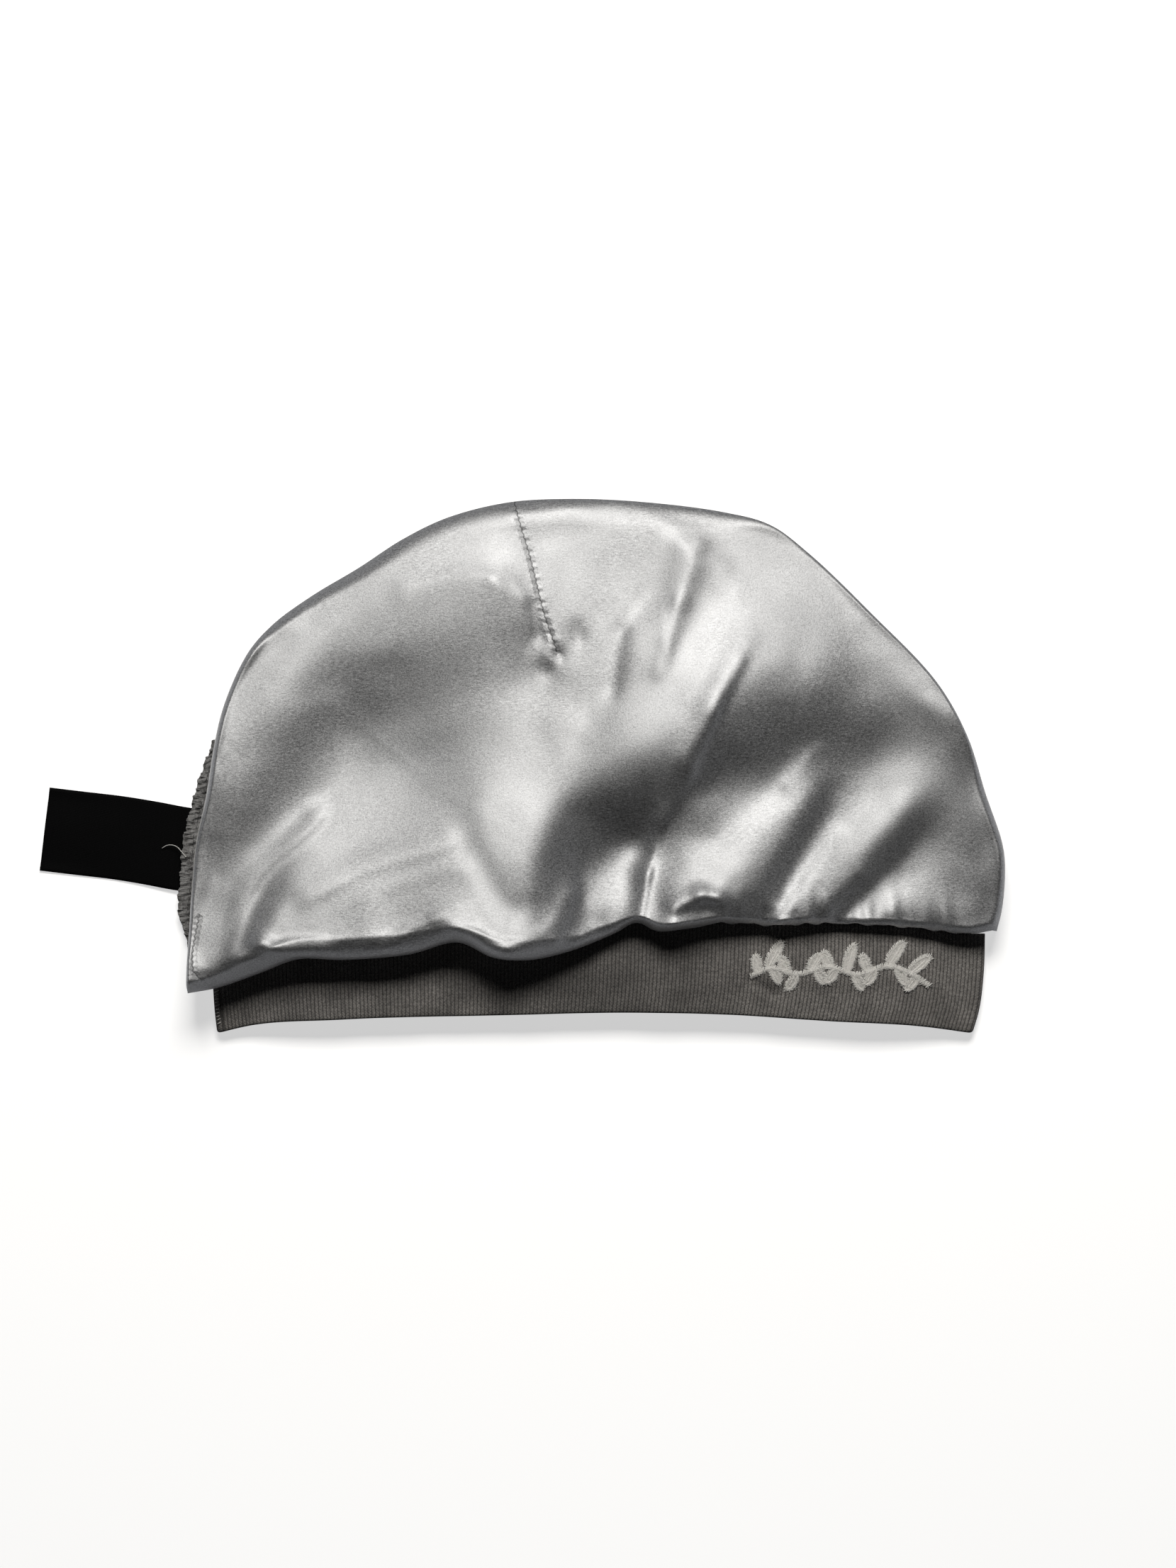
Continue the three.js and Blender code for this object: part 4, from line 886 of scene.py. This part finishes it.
def satin_look():
    k = Look("satin_lining", (0.33, 0.331, 0.335), 0.5, 0.94)
    grain = k.noise(k.place((1, 1, 1)), 2.3, 2.0, 0.7)
    patch = k.noise(k.place((1, 1, 1)), 0.05, 2.0)
    floats = k.noise(k.place((0.75, 2.5, 2.5), (0, 0, 0.02)), 1.0, 2.0, 0.6)  # the weave's floats run along X
    plain = k.noise(k.place((1, 1, 1)), 0.035, 1.0)
    r = k.math("ADD", k.ramp(grain, 0.25, 0.75, 0.46, 0.55), k.ramp(patch, 0.3, 0.7, -0.02, 0.02))
    k.rough(k.math("ADD", r, k.ramp(floats, 0.3, 0.7, -0.02, 0.02)))
    spark = k.ramp(grain, 0.22, 0.78, 0.5, 1.5)
    lines = k.math("MULTIPLY", k.math("SUBTRACT", floats, 0.5), k.ramp(plain, 0.38, 0.6, 0.3, 1.4))
    level = k.math("MULTIPLY", spark, k.math("ADD", 1.0, lines))
    mm = k.node("ShaderNodeSeparateXYZ")
    k.link(k.place(), mm.inputs[0])
    run = mm.outputs[1]
    wob = k.math("MULTIPLY", k.math("SINE", k.math("MULTIPLY", run, 2 * math.pi / 1.7)), 0.14)

    def line(name, low, high):
        """Distance from a seam line, grown beyond its two ends."""
        d = k.math("ABSOLUTE", k.math("ADD", k.attribute(name), wob))
        past = k.math("MAXIMUM", k.math("SUBTRACT", low, run), k.math("SUBTRACT", run, high))
        return k.math("ADD", d, k.math("MAXIMUM", past, 0.0))

    dart_line = line("dart", DART[-1][1], DART[0][1] + 2)
    seam = k.math("MINIMUM", dart_line, line("corner", CORNER_LINE[-1][1], CORNER_LINE[0][1]))
    dark = k.ramp(seam, 0.06, 0.32, 0.34, 1.0)
    k.b.inputs["Sheen Weight"].default_value = 0.5
    k.b.inputs["Sheen Roughness"].default_value = 0.3
    bright = k.node("ShaderNodeVectorMath", operation="SCALE")
    bright.inputs[0].default_value = (0.329, 0.331, 0.337)
    k.link(k.math("MULTIPLY", level, dark), bright.inputs[3])
    k.colour(bright.outputs[0])
    k.bump(k.math("MULTIPLY", grain, 0.03))
    k.bump(k.math("MULTIPLY", floats, 0.014))
    puck = k.math("MULTIPLY", k.math("SINE", k.math("MULTIPLY", run, 2 * math.pi / 3.1)), k.ramp(dart_line, 0.3, 2.6, 0.045, 0.0))
    k.bump(k.math("ADD", puck, k.ramp(seam, 0.0, 1.4, -0.16, 0.0)))
    return k.m


def jersey_look(name, cloth=True, colour=(0.196, 0.1845, 0.174)):
    """Heathered knit. Its wales run across the band, its courses along it."""
    k = Look(name, colour, 0.92)
    src = "cloth" if cloth else None
    u = k.node("ShaderNodeSeparateXYZ")
    k.link(k.place((1, 1, 1), (0, 0, 0), src), u.inputs[0])
    fuzz = k.noise(k.place((1, 1, 1), (0, 0, 0), src), 2.2, 3.0, 0.7)
    heather = k.noise(k.place((0.9, 1.25, 1.0), (0, 0, 0), src), 1.0, 2.0, 0.7)
    cloud = k.noise(k.place((1, 1, 1), (0, 0, 0), src), 0.11, 3.0, 0.6)
    wob = k.math("MULTIPLY", k.math("SUBTRACT", k.noise(k.place((0.5, 0.5, 0.5), (0, 0, 0), src), 1.0), 0.5), 0.35)
    wale = k.math("ABSOLUTE", k.math("SINE", k.math("MULTIPLY", k.math("ADD", u.outputs[0], wob), math.pi / WALE)))
    lean = k.math("MULTIPLY", k.math("SINE", k.math("MULTIPLY", u.outputs[0], 2 * math.pi / WALE)), 0.35)
    course = k.math("SINE", k.math("MULTIPLY", k.math("ADD", u.outputs[1], lean), 2 * math.pi / COURSE))
    stitch = k.math("ADD", k.math("MULTIPLY", k.math("POWER", wale, 0.6), 0.16), k.math("MULTIPLY", course, 0.05))
    # painted shade: the colour is darkened in the grooves between the wales, and varied by random heather clouds
    shade = k.math("MULTIPLY", k.ramp(wale, 0.0, 0.7, 0.22, 1.0), k.ramp(cloud, 0.32, 0.68, 0.74, 1.22))
    if cloth:
        # the band's tone attribute is painted shade: it darkens the band's colour about its middle, where less light
        # reaches it, and towards its back end
        shade = k.math("MULTIPLY", shade, k.attribute("tone"))
    tone = k.mix(k.ramp(heather, 0.32, 0.68, 0.0, 1.0), tuple(c * 0.52 for c in colour), tuple(c * 1.55 for c in colour))
    tone = k.mix(k.ramp(fuzz, 0.38, 0.68, 0.0, 0.6), tone, tuple(min(1, c * 1.75) for c in colour))
    mul = k.node("ShaderNodeVectorMath", operation="SCALE")
    k.link(tone, mul.inputs[0])
    k.link(shade, mul.inputs[3])
    k.colour(mul.outputs[0])
    k.rough(k.ramp(fuzz, 0.3, 0.7, 0.86, 0.98))
    k.b.inputs["Sheen Weight"].default_value = 0.12
    k.b.inputs["Sheen Roughness"].default_value = 0.5
    k.bump(stitch)
    k.bump(k.math("MULTIPLY", fuzz, 0.12))
    return k.m


def thread_look(name, colour, pitch=0.55):
    k = Look(name, colour, 0.5)
    ply = k.math("SINE", k.math("MULTIPLY", k.attribute("along"), 2 * math.pi / pitch))
    fuzz = k.noise(k.place(), 5.0, 2.0)
    k.colour(k.mix(k.ramp(fuzz, 0.3, 0.7, 0.0, 1.0), tuple(c * 0.88 for c in colour), colour))
    k.rough(k.ramp(fuzz, 0.3, 0.7, 0.4, 0.6))
    k.b.inputs["Sheen Weight"].default_value = 0.6
    k.bump(k.math("MULTIPLY", ply, 0.03))
    return k.m


def label_look():
    k = Look("care_ribbon", (0.003, 0.003, 0.0033), 0.6)
    u = k.node("ShaderNodeSeparateXYZ")
    k.link(k.place((1, 1, 1), (0, 0, 0), "cloth"), u.inputs[0])
    rib = k.math("SINE", k.math("MULTIPLY", u.outputs[0], 2 * math.pi / 0.42))
    warp = k.math("SINE", k.math("MULTIPLY", u.outputs[1], 2 * math.pi / 0.3))
    fuzz = k.noise(k.place(), 2.0, 3.0)
    k.colour(k.mix(k.ramp(fuzz, 0.3, 0.7, 0.0, 1.0), (0.001, 0.001, 0.0011), (0.0022, 0.0022, 0.0025)))
    k.rough(k.ramp(fuzz, 0.3, 0.7, 0.6, 0.75))
    k.b.inputs["Specular IOR Level"].default_value = 0.06
    k.bump(k.math("ADD", k.math("MULTIPLY", rib, 0.02), k.math("MULTIPLY", warp, 0.012)))
    return k.m


def serged_look():
    k = Look("serged_edge", (0.27, 0.265, 0.255), 0.75)
    fuzz = k.noise(k.place(), 1.6, 4.0, 0.7)
    spot = k.noise(k.place((1, 0.45, 1)), 0.55, 3.0, 0.7)
    tone = k.mix(k.ramp(fuzz, 0.3, 0.7, 0.0, 1.0), (0.13, 0.128, 0.126), (0.4, 0.395, 0.39))
    k.colour(k.mix(k.ramp(spot, 0.47, 0.6, 0.0, 0.75), tone, (0.06, 0.058, 0.056)))
    k.rough(k.ramp(fuzz, 0.3, 0.7, 0.6, 0.9))
    k.bump(k.math("MULTIPLY", fuzz, 0.45))
    return k.m


def backing_look():
    k = Look("backing", (0.6, 0.58, 0.54), 0.9)
    fuzz = k.noise(k.place(), 2.2, 4.0, 0.75)
    k.colour(k.mix(k.ramp(fuzz, 0.32, 0.68, 0.0, 1.0), (0.55, 0.53, 0.5), (0.95, 0.93, 0.89)))
    k.rough(k.ramp(fuzz, 0.3, 0.7, 0.8, 0.95))
    k.bump(k.math("MULTIPLY", fuzz, 0.25))
    return k.m


WALE, COURSE = 1.15, 0.85
MAT_SATIN = satin_look()
MAT_JERSEY = jersey_look("band_jersey")
MAT_SHELL = jersey_look("shell_jersey", cloth=False)
MAT_THREAD = thread_look("embroidery_thread", (0.92, 0.9, 0.86))
MAT_BACKING = backing_look()
MAT_SEWING = thread_look("sewing_thread", (0.36, 0.355, 0.35))
MAT_DARK_THREAD = thread_look("dark_sewing_thread", (0.05, 0.049, 0.048))
MAT_LABEL = label_look()
MAT_SERGED = serged_look()

# ---------------------------------------------------------------- satin lining
FINE = {"back": 70, "hem": 236, "front": 66}
RINGS = {"top": 64, "under": 8, "low": 5}
columns = columns_of(FINE)
lining = lining_grid(columns, RINGS)
dart_run = run_of(DART, 60)
dart_at = curve_of(DART, 1, 0)
corner_at = curve_of(CORNER_LINE, 1, 0)


def seams_at(v):
    """Each point's distance across the dart's seam line and across the corner's; only the upper face shows them."""
    looks = {}
    for key, line, rows in (("dart", dart_at, DART), ("corner", corner_at, CORNER_LINE)):
        d = v[:, 0] - line(v[:, 1])
        looks[key] = np.where(v[:, 2] > 2.0, d, np.where(d < 0, -9.0, 9.0))
    return looks


satin = bag("satin_lining_cloth", columns, RINGS, lining, 0.0, SATIN, MAT_SATIN, seams_at)
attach(satin, "root")
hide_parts("satin_lining")

# ---------------------------------------------------------------- jersey shell
COARSE = {"back": 30, "hem": 90, "front": 28}
SHELL_RINGS = {"top": 30, "under": 4, "low": 6}
shell_columns = columns_of(COARSE)
shell = bag(
    "jersey_shell_cloth", shell_columns, SHELL_RINGS, shell_grid(shell_columns, SHELL_RINGS), SHELL_IN, JERSEY, MAT_SHELL
)
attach(shell, "root")
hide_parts("jersey_shell")


# ---------------------------------------------------------------- band
def band_loop(span):
    half, r = BAND_WALL / 2, BAND_END_TOP / 2 - BAND_WALL / 2
    x0, x1 = float(band_back(0)) + half + r, float(band_front(0)) - half - r
    xs = np.linspace(x0, x1, span + 1)
    slope = band_top(xs + 0.5) - band_top(xs - 0.5)
    ln = np.hypot(1, slope)
    top = np.stack([xs, band_top(xs) - half, -slope / ln, 1 / ln], 1)
    a = math.pi / 2 - np.arange(1, 12) * math.pi / 12
    front = np.stack([x1 + r * np.cos(a), half + r + r * np.sin(a), np.cos(a), np.sin(a)], 1)
    floor = np.stack([xs[::-1], np.full(span + 1, half), np.zeros(span + 1), -np.ones(span + 1)], 1)
    a = a - math.pi
    back = np.stack([x0 + r * np.cos(a), half + r + r * np.sin(a), np.cos(a), np.sin(a)], 1)
    return np.concatenate([top, front, floor, back])


def band_mesh():
    loop = band_loop(210)
    half = BAND_WALL / 2
    steps = np.linspace(0, BAND_WIDTH - half, 27)
    turn = np.arange(1, 8) * math.pi / 8
    d = np.concatenate([steps, BAND_WIDTH - half + half * np.sin(turn), steps[::-1]])
    out = np.concatenate([np.full(27, half), half * np.cos(turn), np.full(27, -half)])
    s = np.concatenate([[0], np.cumsum(np.hypot(np.diff(loop[:, 0]), np.diff(loop[:, 1])))])
    L, D = loop[:, None], d[None]
    lift = 1 - smooth(D, 0, BAND_WIDTH) * (1 - MOUTH_LOW)
    x0 = L[..., 0] + L[..., 2] * out[None] * np.abs(L[..., 2]) ** 0.2
    f = (x0 - band_back(0)) / (band_front(0) - band_back(0))
    x = band_back(D) + (band_front(D) - band_back(D)) * f
    z = half + (L[..., 1] - half) * lift + L[..., 3] * out[None]
    y = seam_line(x) - D + 0 * x
    upper = smooth(L[..., 3], 0.0, 0.6) * (out[None] > 0)  # only the outer face of the upper layer is worked on
    for row in BAND_FOLDS:
        z = z + upper * fold(row, x, y)
    ripple = 0.16 * np.sin(x / 7.3 + 1.0) * smooth(D, 8, 30) + 0.1 * np.sin(x / 3.1 + 2.0 + 0.1 * y) * smooth(D, 20, 30)
    z = z + upper * ripple
    v = np.stack([x, y, z], -1)
    cloth = np.stack([np.broadcast_to(s[:, None], x.shape), np.broadcast_to(D, x.shape), np.zeros(x.shape)], -1)
    # painted shade: the band's colour is made darker about its middle, where less light reaches it, and darker towards
    # its back end
    tone = 1.06 - 0.2 * (1 - smooth(x, 20, 90)) - 0.22 * np.exp(-(((x - 30) / 45) ** 2))
    faces = grid_faces(len(loop), len(d), 0, loop_rows=True, loop_cols=True)
    looks = {"cloth": cloth.reshape(-1, 3), "tone": tone.ravel()}
    return make("band_jersey_cloth", v.reshape(-1, 3), faces, MAT_JERSEY, looks)


band = band_mesh()
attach(band, "root")
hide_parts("band")

# ---------------------------------------------------------------- serged allowance of the back seam
strip_out = curve_of(BACK_SEAM, 0, 1)


def outline_x(y):
    left = EDGE[EDGE[:, 0] < 0]
    return np.interp(y, left[:, 1], left[:, 0])


def crinkle(y, u):
    """How the loose strip waves: sideways and up."""
    side = 0.7 * np.sin(y * 1.1) + 0.4 * np.sin(y * 2.7 + 1.2) + 0.25 * np.sin(y * 5.3 + 0.4)
    up = 0.45 * side * u + 0.25 * np.sin(6 * u + y * 1.7) + 0.2 * np.sin(y * 4.1 + 3 * u)
    return side, up


def strip_mesh():
    n, m = 190, 11
    y = np.linspace(BACK_SEAM[0][0], BACK_SEAM[-1][0], n)[:, None]
    u = np.linspace(0, 1, m)[None]
    side, up = crinkle(y, u)
    px = outline_x(y) - GAP * 0.5 - (strip_out(y) + 0.24 * side) * u
    py = y + 0.3 * side * u
    low = 3.2 + up
    thick = 1.1 + 0.2 * np.sin(y * 3.3 + 6 * u)
    under = np.stack([px, py, low], -1)
    over = np.stack([px, py, low + thick], -1)
    v = np.concatenate([over, under[:, ::-1]], 1)
    faces = grid_faces(n, 2 * m, 0, loop_cols=True)
    faces += [tuple(range(2 * m))[::-1], tuple((n - 1) * 2 * m + k for k in range(2 * m))]
    return make("back_seam_allowance", v.reshape(-1, 3), faces, MAT_SERGED)


def on_strip(y, u, over=0.12):
    """A point on the strip's upper face, u across it."""
    side, up = crinkle(y, u)
    x = outline_x(y) - GAP * 0.5 - (strip_out(y) + 0.24 * side) * u
    return np.stack([x, y + 0.3 * side * u, 3.2 + up + 1.1 + 0.2 * np.sin(y * 3.3 + 6 * u) + over], -1)


strip = strip_mesh()
overlock, seam_line_stitches = Strands(5), Strands(5)
y = BACK_SEAM[-1][0] + 2.0
while y < BACK_SEAM[0][0] - 2.0:
    out = float(strip_out(y))
    if out > 1.2:
        u = np.linspace(rng.uniform(0.3, 0.5), 1.0, 7)
        p = on_strip(np.full(7, y) + rng.uniform(0.3, 0.9) * u, u)
        tail = p[-1] + np.array([[-0.05, 0.1, -0.5], [0.3, 0.2, -1.2]])
        overlock.add(np.concatenate([p, tail]), rng.uniform(0.06, 0.1))
        if rng.uniform() < 0.7:
            q = on_strip(y + np.linspace(0, 1.3, 4), np.full(4, 0.3 + rng.uniform(-0.04, 0.04)), 0.1)
            q[0, 2] -= 0.3
            q[-1, 2] -= 0.3
            seam_line_stitches.add(q, 0.16)
    y += rng.uniform(0.9, 1.9)
stitches = overlock.mesh("back_seam_overlock_thread", MAT_SEWING)
line_stitches = seam_line_stitches.mesh("back_seam_stitches", MAT_DARK_THREAD)
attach(line_stitches, "root")
for o in (strip, stitches):
    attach(o, "root")
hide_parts("back_seam")

# ---------------------------------------------------------------- care label, left without print
LABEL_RUN = run_of(LABEL, 60)


def label_mesh():
    n, m, thick, wide = 61, 29, 0.35, 25.3
    c = LABEL_RUN
    t = np.gradient(c[:, :2], axis=0)
    t /= np.linalg.norm(t, axis=1, keepdims=True)
    u = np.linspace(-0.5, 0.5, m)
    px = c[:, 0:1] - t[:, 1:2] * wide * u[None]
    py = c[:, 1:2] + t[:, 0:1] * wide * u[None]
    s = np.concatenate([[0], np.cumsum(np.linalg.norm(np.diff(c[:, :3], axis=0), axis=1))])
    pz = c[:, 2:3] + 0.25 * (1 - np.cos(2 * math.pi * (u[None] + 0.5))) * smooth(s, 8, 40)[:, None] * 0.8
    pz = pz + 0.35 * smooth(np.abs(u[None]), 0.36, 0.5) * smooth(s, 20, 46)[:, None]
    over = np.stack([px, py, pz + thick], -1)
    under = np.stack([px, py, pz], -1)
    v = np.concatenate([over, under[:, ::-1]], 1)
    cloth = np.stack([np.broadcast_to(s[:, None], px.shape), np.broadcast_to(u[None] * wide, px.shape), 0 * px], -1)
    cloth = np.concatenate([cloth, cloth[:, ::-1]], 1)
    faces = grid_faces(n, 2 * m, 0, loop_cols=True)
    for r, turn in ((0, True), (n - 1, False)):
        for k in range(m - 1):
            q = (r * 2 * m + k, r * 2 * m + k + 1, r * 2 * m + 2 * m - 2 - k, r * 2 * m + 2 * m - 1 - k)
            faces.append(tuple(reversed(q)) if turn else q)
    return make("care_label_ribbon", v.reshape(-1, 3), faces, MAT_LABEL, {"cloth": cloth.reshape(-1, 3)}), float(s[-1])


label, label_long = label_mesh()
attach(label, "root")
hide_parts("care_label")

tail = Strands(6)
tail.add(run_of([(x, y, z) for x, y, z in THREAD_TAIL], 30), 0.13)
tail_end = tail.mesh("loose_thread_end", thread_look("loose_thread", (0.7, 0.69, 0.66)))
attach(tail_end, "root")

# ---------------------------------------------------------------- embroidered sprig
sprig_run = run_of([(x, y, 0.0) for x, y in SPRIG], 240)


def band_face(x, y):
    d = seam_line(x) - y
    half = BAND_WALL / 2
    lift = 1 - smooth(d, 0, BAND_WIDTH) * (1 - MOUTH_LOW)
    z = half + (band_top(x) - half - half) * lift + half
    for row in BAND_FOLDS:
        z = z + fold(row, x, y)
    return z + 0.16 * np.sin(x / 7.3 + 1.0) * smooth(d, 8, 30)


def worked(strands, a, b, high, radius=0.2):
    """One stitch of satin stitch from a to b, crowned over the band."""
    u = np.linspace(0, 1, 7)
    x = a[0] + (b[0] - a[0]) * u
    y = a[1] + (b[1] - a[1]) * u
    z = band_face(x, y) - 0.12 + high * np.sin(math.pi * u) ** 0.55
    strands.add(np.stack([x, y, z], 1), radius)


def leaf_outline(root, turn, long, wide, count=40):
    s = np.linspace(0, 2 * math.pi, count, endpoint=False)
    along, across = long / 2 * (1 - np.cos(s)), wide / 2 * np.sin(s) * (0.75 + 0.25 * np.cos(s * 0.5))
    a = math.radians(turn)
    return np.stack([root[0] + along * math.cos(a) - across * math.sin(a), root[1] + along * math.sin(a) + across * math.cos(a)], 1)


def stitched(strands, line, wide, high, step=0.4, closed=False):
    """A line worked in satin stitch: short slanted stitches side by side, a little uneven."""
    p = np.asarray(line, float)
    if closed:
        p = np.concatenate([p, p[:1]])
    s = np.concatenate([[0], np.cumsum(np.linalg.norm(np.diff(p, axis=0), axis=1))])
    for d in np.arange(0.1, s[-1], step):
        q = np.array([np.interp(d, s, p[:, k]) for k in (0, 1)])
        r = np.array([np.interp(min(d + 0.3, s[-1]), s, p[:, k]) for k in (0, 1)])
        t = (r - q) / max(np.linalg.norm(r - q), 1e-6)
        n = np.array([-t[1], t[0]])
        half = wide / 2 * rng.uniform(0.85, 1.25)
        lean = t * rng.uniform(0.1, 0.5)
        worked(strands, q + n * half + lean, q - n * half - lean, high * rng.uniform(0.85, 1.15), 0.17)


sprig = Strands(5)
stitched(sprig, sprig_run[:, :2], 1.9, 0.62)
leaf_lines = [leaf_outline(sprig_run[int(at_ * 240)][:2], turn, long, wide) for at_, turn, long, wide in LEAVES]
for line in leaf_lines:
    stitched(sprig, line, 1.25, 0.5, closed=True)
    a, b = line[0], line[20]
    stitched(sprig, np.stack([a, a + (b - a) * 0.75]), 0.8, 0.4)


for line in leaf_lines + [sprig_run[::6, :2]]:
    for a in line[:: (2 if len(line) < 60 else 1)]:
        for _ in range(4):
            turn, long = rng.uniform(0, 2 * math.pi), rng.uniform(0.5, 1.6)
            b = a + long * np.array([math.cos(turn), math.sin(turn)])
            worked(sprig, a, b, rng.uniform(0.3, 0.7), 0.065)


def backing_mesh():
    """The pale backing between the stitches: one flat leaf-shaped patch under each leaf, laid on the band."""
    verts, faces = [], []
    for line in leaf_lines:
        mid = line.mean(0)
        rings = [np.repeat(mid[None], len(line), 0) + (line - mid) * k for k in (0.25, 0.5, 0.75, 1.0)]
        for low in (0.28, 0.05):
            start = len(verts)
            verts.append((*mid, float(band_face(mid[0], mid[1])) + low))
            for r in rings:
                verts += [(x, y, float(band_face(x, y)) + low) for x, y in r]
            n = len(line)
            for k in range(n):
                j = (k + 1) % n
                f = [(start, start + 1 + k, start + 1 + j)]
                for q in range(3):
                    c, d = start + 1 + q * n, start + 1 + (q + 1) * n
                    f.append((c + k, d + k, d + j, c + j))
                faces += [tuple(reversed(v)) for v in f] if low < 0.1 else f
        top, under = start - (1 + 4 * len(line)) + 1 + 3 * len(line), start + 1 + 3 * len(line)
        for k in range(len(line)):
            j = (k + 1) % len(line)
            faces.append((under + k, under + j, top + j, top + k))
    return make("embroidery_backing", verts, faces, MAT_BACKING)


backing = backing_mesh()
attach(backing, "root")
sprig_mesh = sprig.mesh("embroidered_sprig", MAT_THREAD)
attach(sprig_mesh, "root")
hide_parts("embroidery")

# ---------------------------------------------------------------- pale stitches that show at the band's back fold
end = Strands(5)
for y in np.arange(-77.5, -67.0, 1.05):
    x = float(band_back(float(seam_line(-90.0)) - y)) + 0.9
    a, b = np.array([x - 0.35, y]), np.array([x + rng.uniform(0.6, 1.0), y + rng.uniform(0.1, 0.6)])
    worked(end, a, b, 0.35, 0.11)
end_mesh = end.mesh("band_end_stitches", MAT_THREAD)
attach(end_mesh, "root")

# ---------------------------------------------------------------- dart seam: small stitches sunk along it
dart = Strands(5)
for p, q in zip(dart_run[2:-2:2], dart_run[3:-1:2]):
    x = np.linspace(p[0], q[0], 4)
    y = np.linspace(p[1], q[1], 4)
    z = lining_top(x, y) + np.array([-0.12, -0.03, -0.03, -0.12])
    dart.add(np.stack([x, y, z], 1), 0.055)
dart_mesh = dart.mesh("dart_seam_stitches", MAT_SEWING)
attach(dart_mesh, "root")

# ---------------------------------------------------------------- stage, light, camera
floor_mesh = bpy.data.meshes.new("floor")
floor_mesh.from_pydata([(-6, -6, -0.0002), (6, -6, -0.0002), (6, 6, -0.0002), (-6, 6, -0.0002)], [], [(0, 1, 2, 3)])
floor = bpy.data.objects.new("floor", floor_mesh)
bpy.context.scene.collection.objects.link(floor)
paper = Look("floor_paper", (0.82, 0.82, 0.82), 0.9)
paper.b.inputs["Emission Color"].default_value = (1, 1, 1, 1)
paper.b.inputs["Emission Strength"].default_value = 0.6
floor_mesh.materials.append(paper.m)
for kind in ("diffuse", "glossy", "transmission"):
    setattr(floor, "visible_" + kind, False)


def area(name, where, aim, size, power, tint=(1, 1, 1)):
    data = bpy.data.lights.new(name, "AREA")
    data.shape, data.size, data.size_y = "RECTANGLE", size[0], size[1]
    data.energy = power
    data.color = tint
    o = bpy.data.objects.new(name, data)
    bpy.context.scene.collection.objects.link(o)
    o.location = where
    o.rotation_euler = (Vector(aim) - Vector(where)).to_track_quat("-Z", "Y").to_euler()
    return o


KEY_RISE, KEY_FAR = math.radians(55), 1.3
area("key", (0.02, KEY_FAR * math.cos(KEY_RISE), KEY_FAR * math.sin(KEY_RISE)), (0.02, 0, 0), (0.5, 0.36), 12.6, (1.0, 0.982, 0.945))
area("fill", (0.02, -1.5, 0.2), (0.02, 0, 0), (1.2, 0.3), 0.55).visible_glossy = False
def room():
    """A dim room with a pale horizon. Only the shine of the cloth sees it; the camera sees plain pale ground."""
    world = bpy.data.worlds.new("room")
    bpy.context.scene.world = world
    world.use_nodes = True
    nodes, links = world.node_tree.nodes, world.node_tree.links
    dim = nodes["Background"]
    where, xyz = nodes.new("ShaderNodeTexCoord"), nodes.new("ShaderNodeSeparateXYZ")
    links.new(where.outputs["Generated"], xyz.inputs[0])

    def part(source, lo, hi, at_lo, at_hi):
        n = nodes.new("ShaderNodeMapRange")
        n.interpolation_type = "SMOOTHSTEP"
        for key, value in (("From Min", lo), ("From Max", hi), ("To Min", at_lo), ("To Max", at_hi)):
            n.inputs[key].default_value = value
        links.new(source, n.inputs["Value"])
        return n.outputs["Result"]

    def maths(kind, a, b=None):
        n = nodes.new("ShaderNodeMath")
        n.operation = kind
        links.new(a, n.inputs[0])
        if b is not None:
            links.new(b, n.inputs[1])
        return n.outputs[0]

    beside = part(maths("ABSOLUTE", xyz.outputs[0]), 0.2, 0.9, 0.0, WALLS)
    walls = maths("MULTIPLY", beside, part(xyz.outputs[2], 0.25, 0.85, 1.0, 0.0))
    ground = maths("MULTIPLY", part(xyz.outputs[1], -0.8, 0.0, GROUND[0], GROUND[1]), part(xyz.outputs[2], 0.0, 0.34, 1.0, 0.0))
    glow = maths("ADD", maths("ADD", walls, ground), part(xyz.outputs[2], 0.0, 0.34, ROOM, ROOM))
    links.new(glow, dim.inputs["Strength"])
    dim.inputs["Color"].default_value = (0.98, 0.985, 1.01, 1)
    pale = nodes.new("ShaderNodeBackground")
    pale.inputs["Color"].default_value = (0.93, 0.93, 0.93, 1)
    path, mixer = nodes.new("ShaderNodeLightPath"), nodes.new("ShaderNodeMixShader")
    links.new(path.outputs["Is Camera Ray"], mixer.inputs[0])
    links.new(dim.outputs[0], mixer.inputs[1])
    links.new(pale.outputs[0], mixer.inputs[2])
    links.new(mixer.outputs[0], nodes["World Output"].inputs["Surface"])
    world.cycles_visibility.diffuse = False


ROOM, WALLS, GROUND = 0.010, 0.2, (0.36, 0.52)
room()
bpy.context.scene.view_settings.view_transform = "Standard"
bpy.context.scene.view_settings.look = "None"

camera = bpy.data.cameras.new("camera")
camera.lens, camera.sensor_width = 90.0, 36.0
cam = bpy.data.objects.new("camera", camera)
bpy.context.scene.collection.objects.link(cam)
cam.location = (0.0203, -0.0054, 0.008 + 0.4706 * 90 / 36)
camera.clip_start, camera.clip_end = 0.05, 30
bpy.context.scene.camera = cam
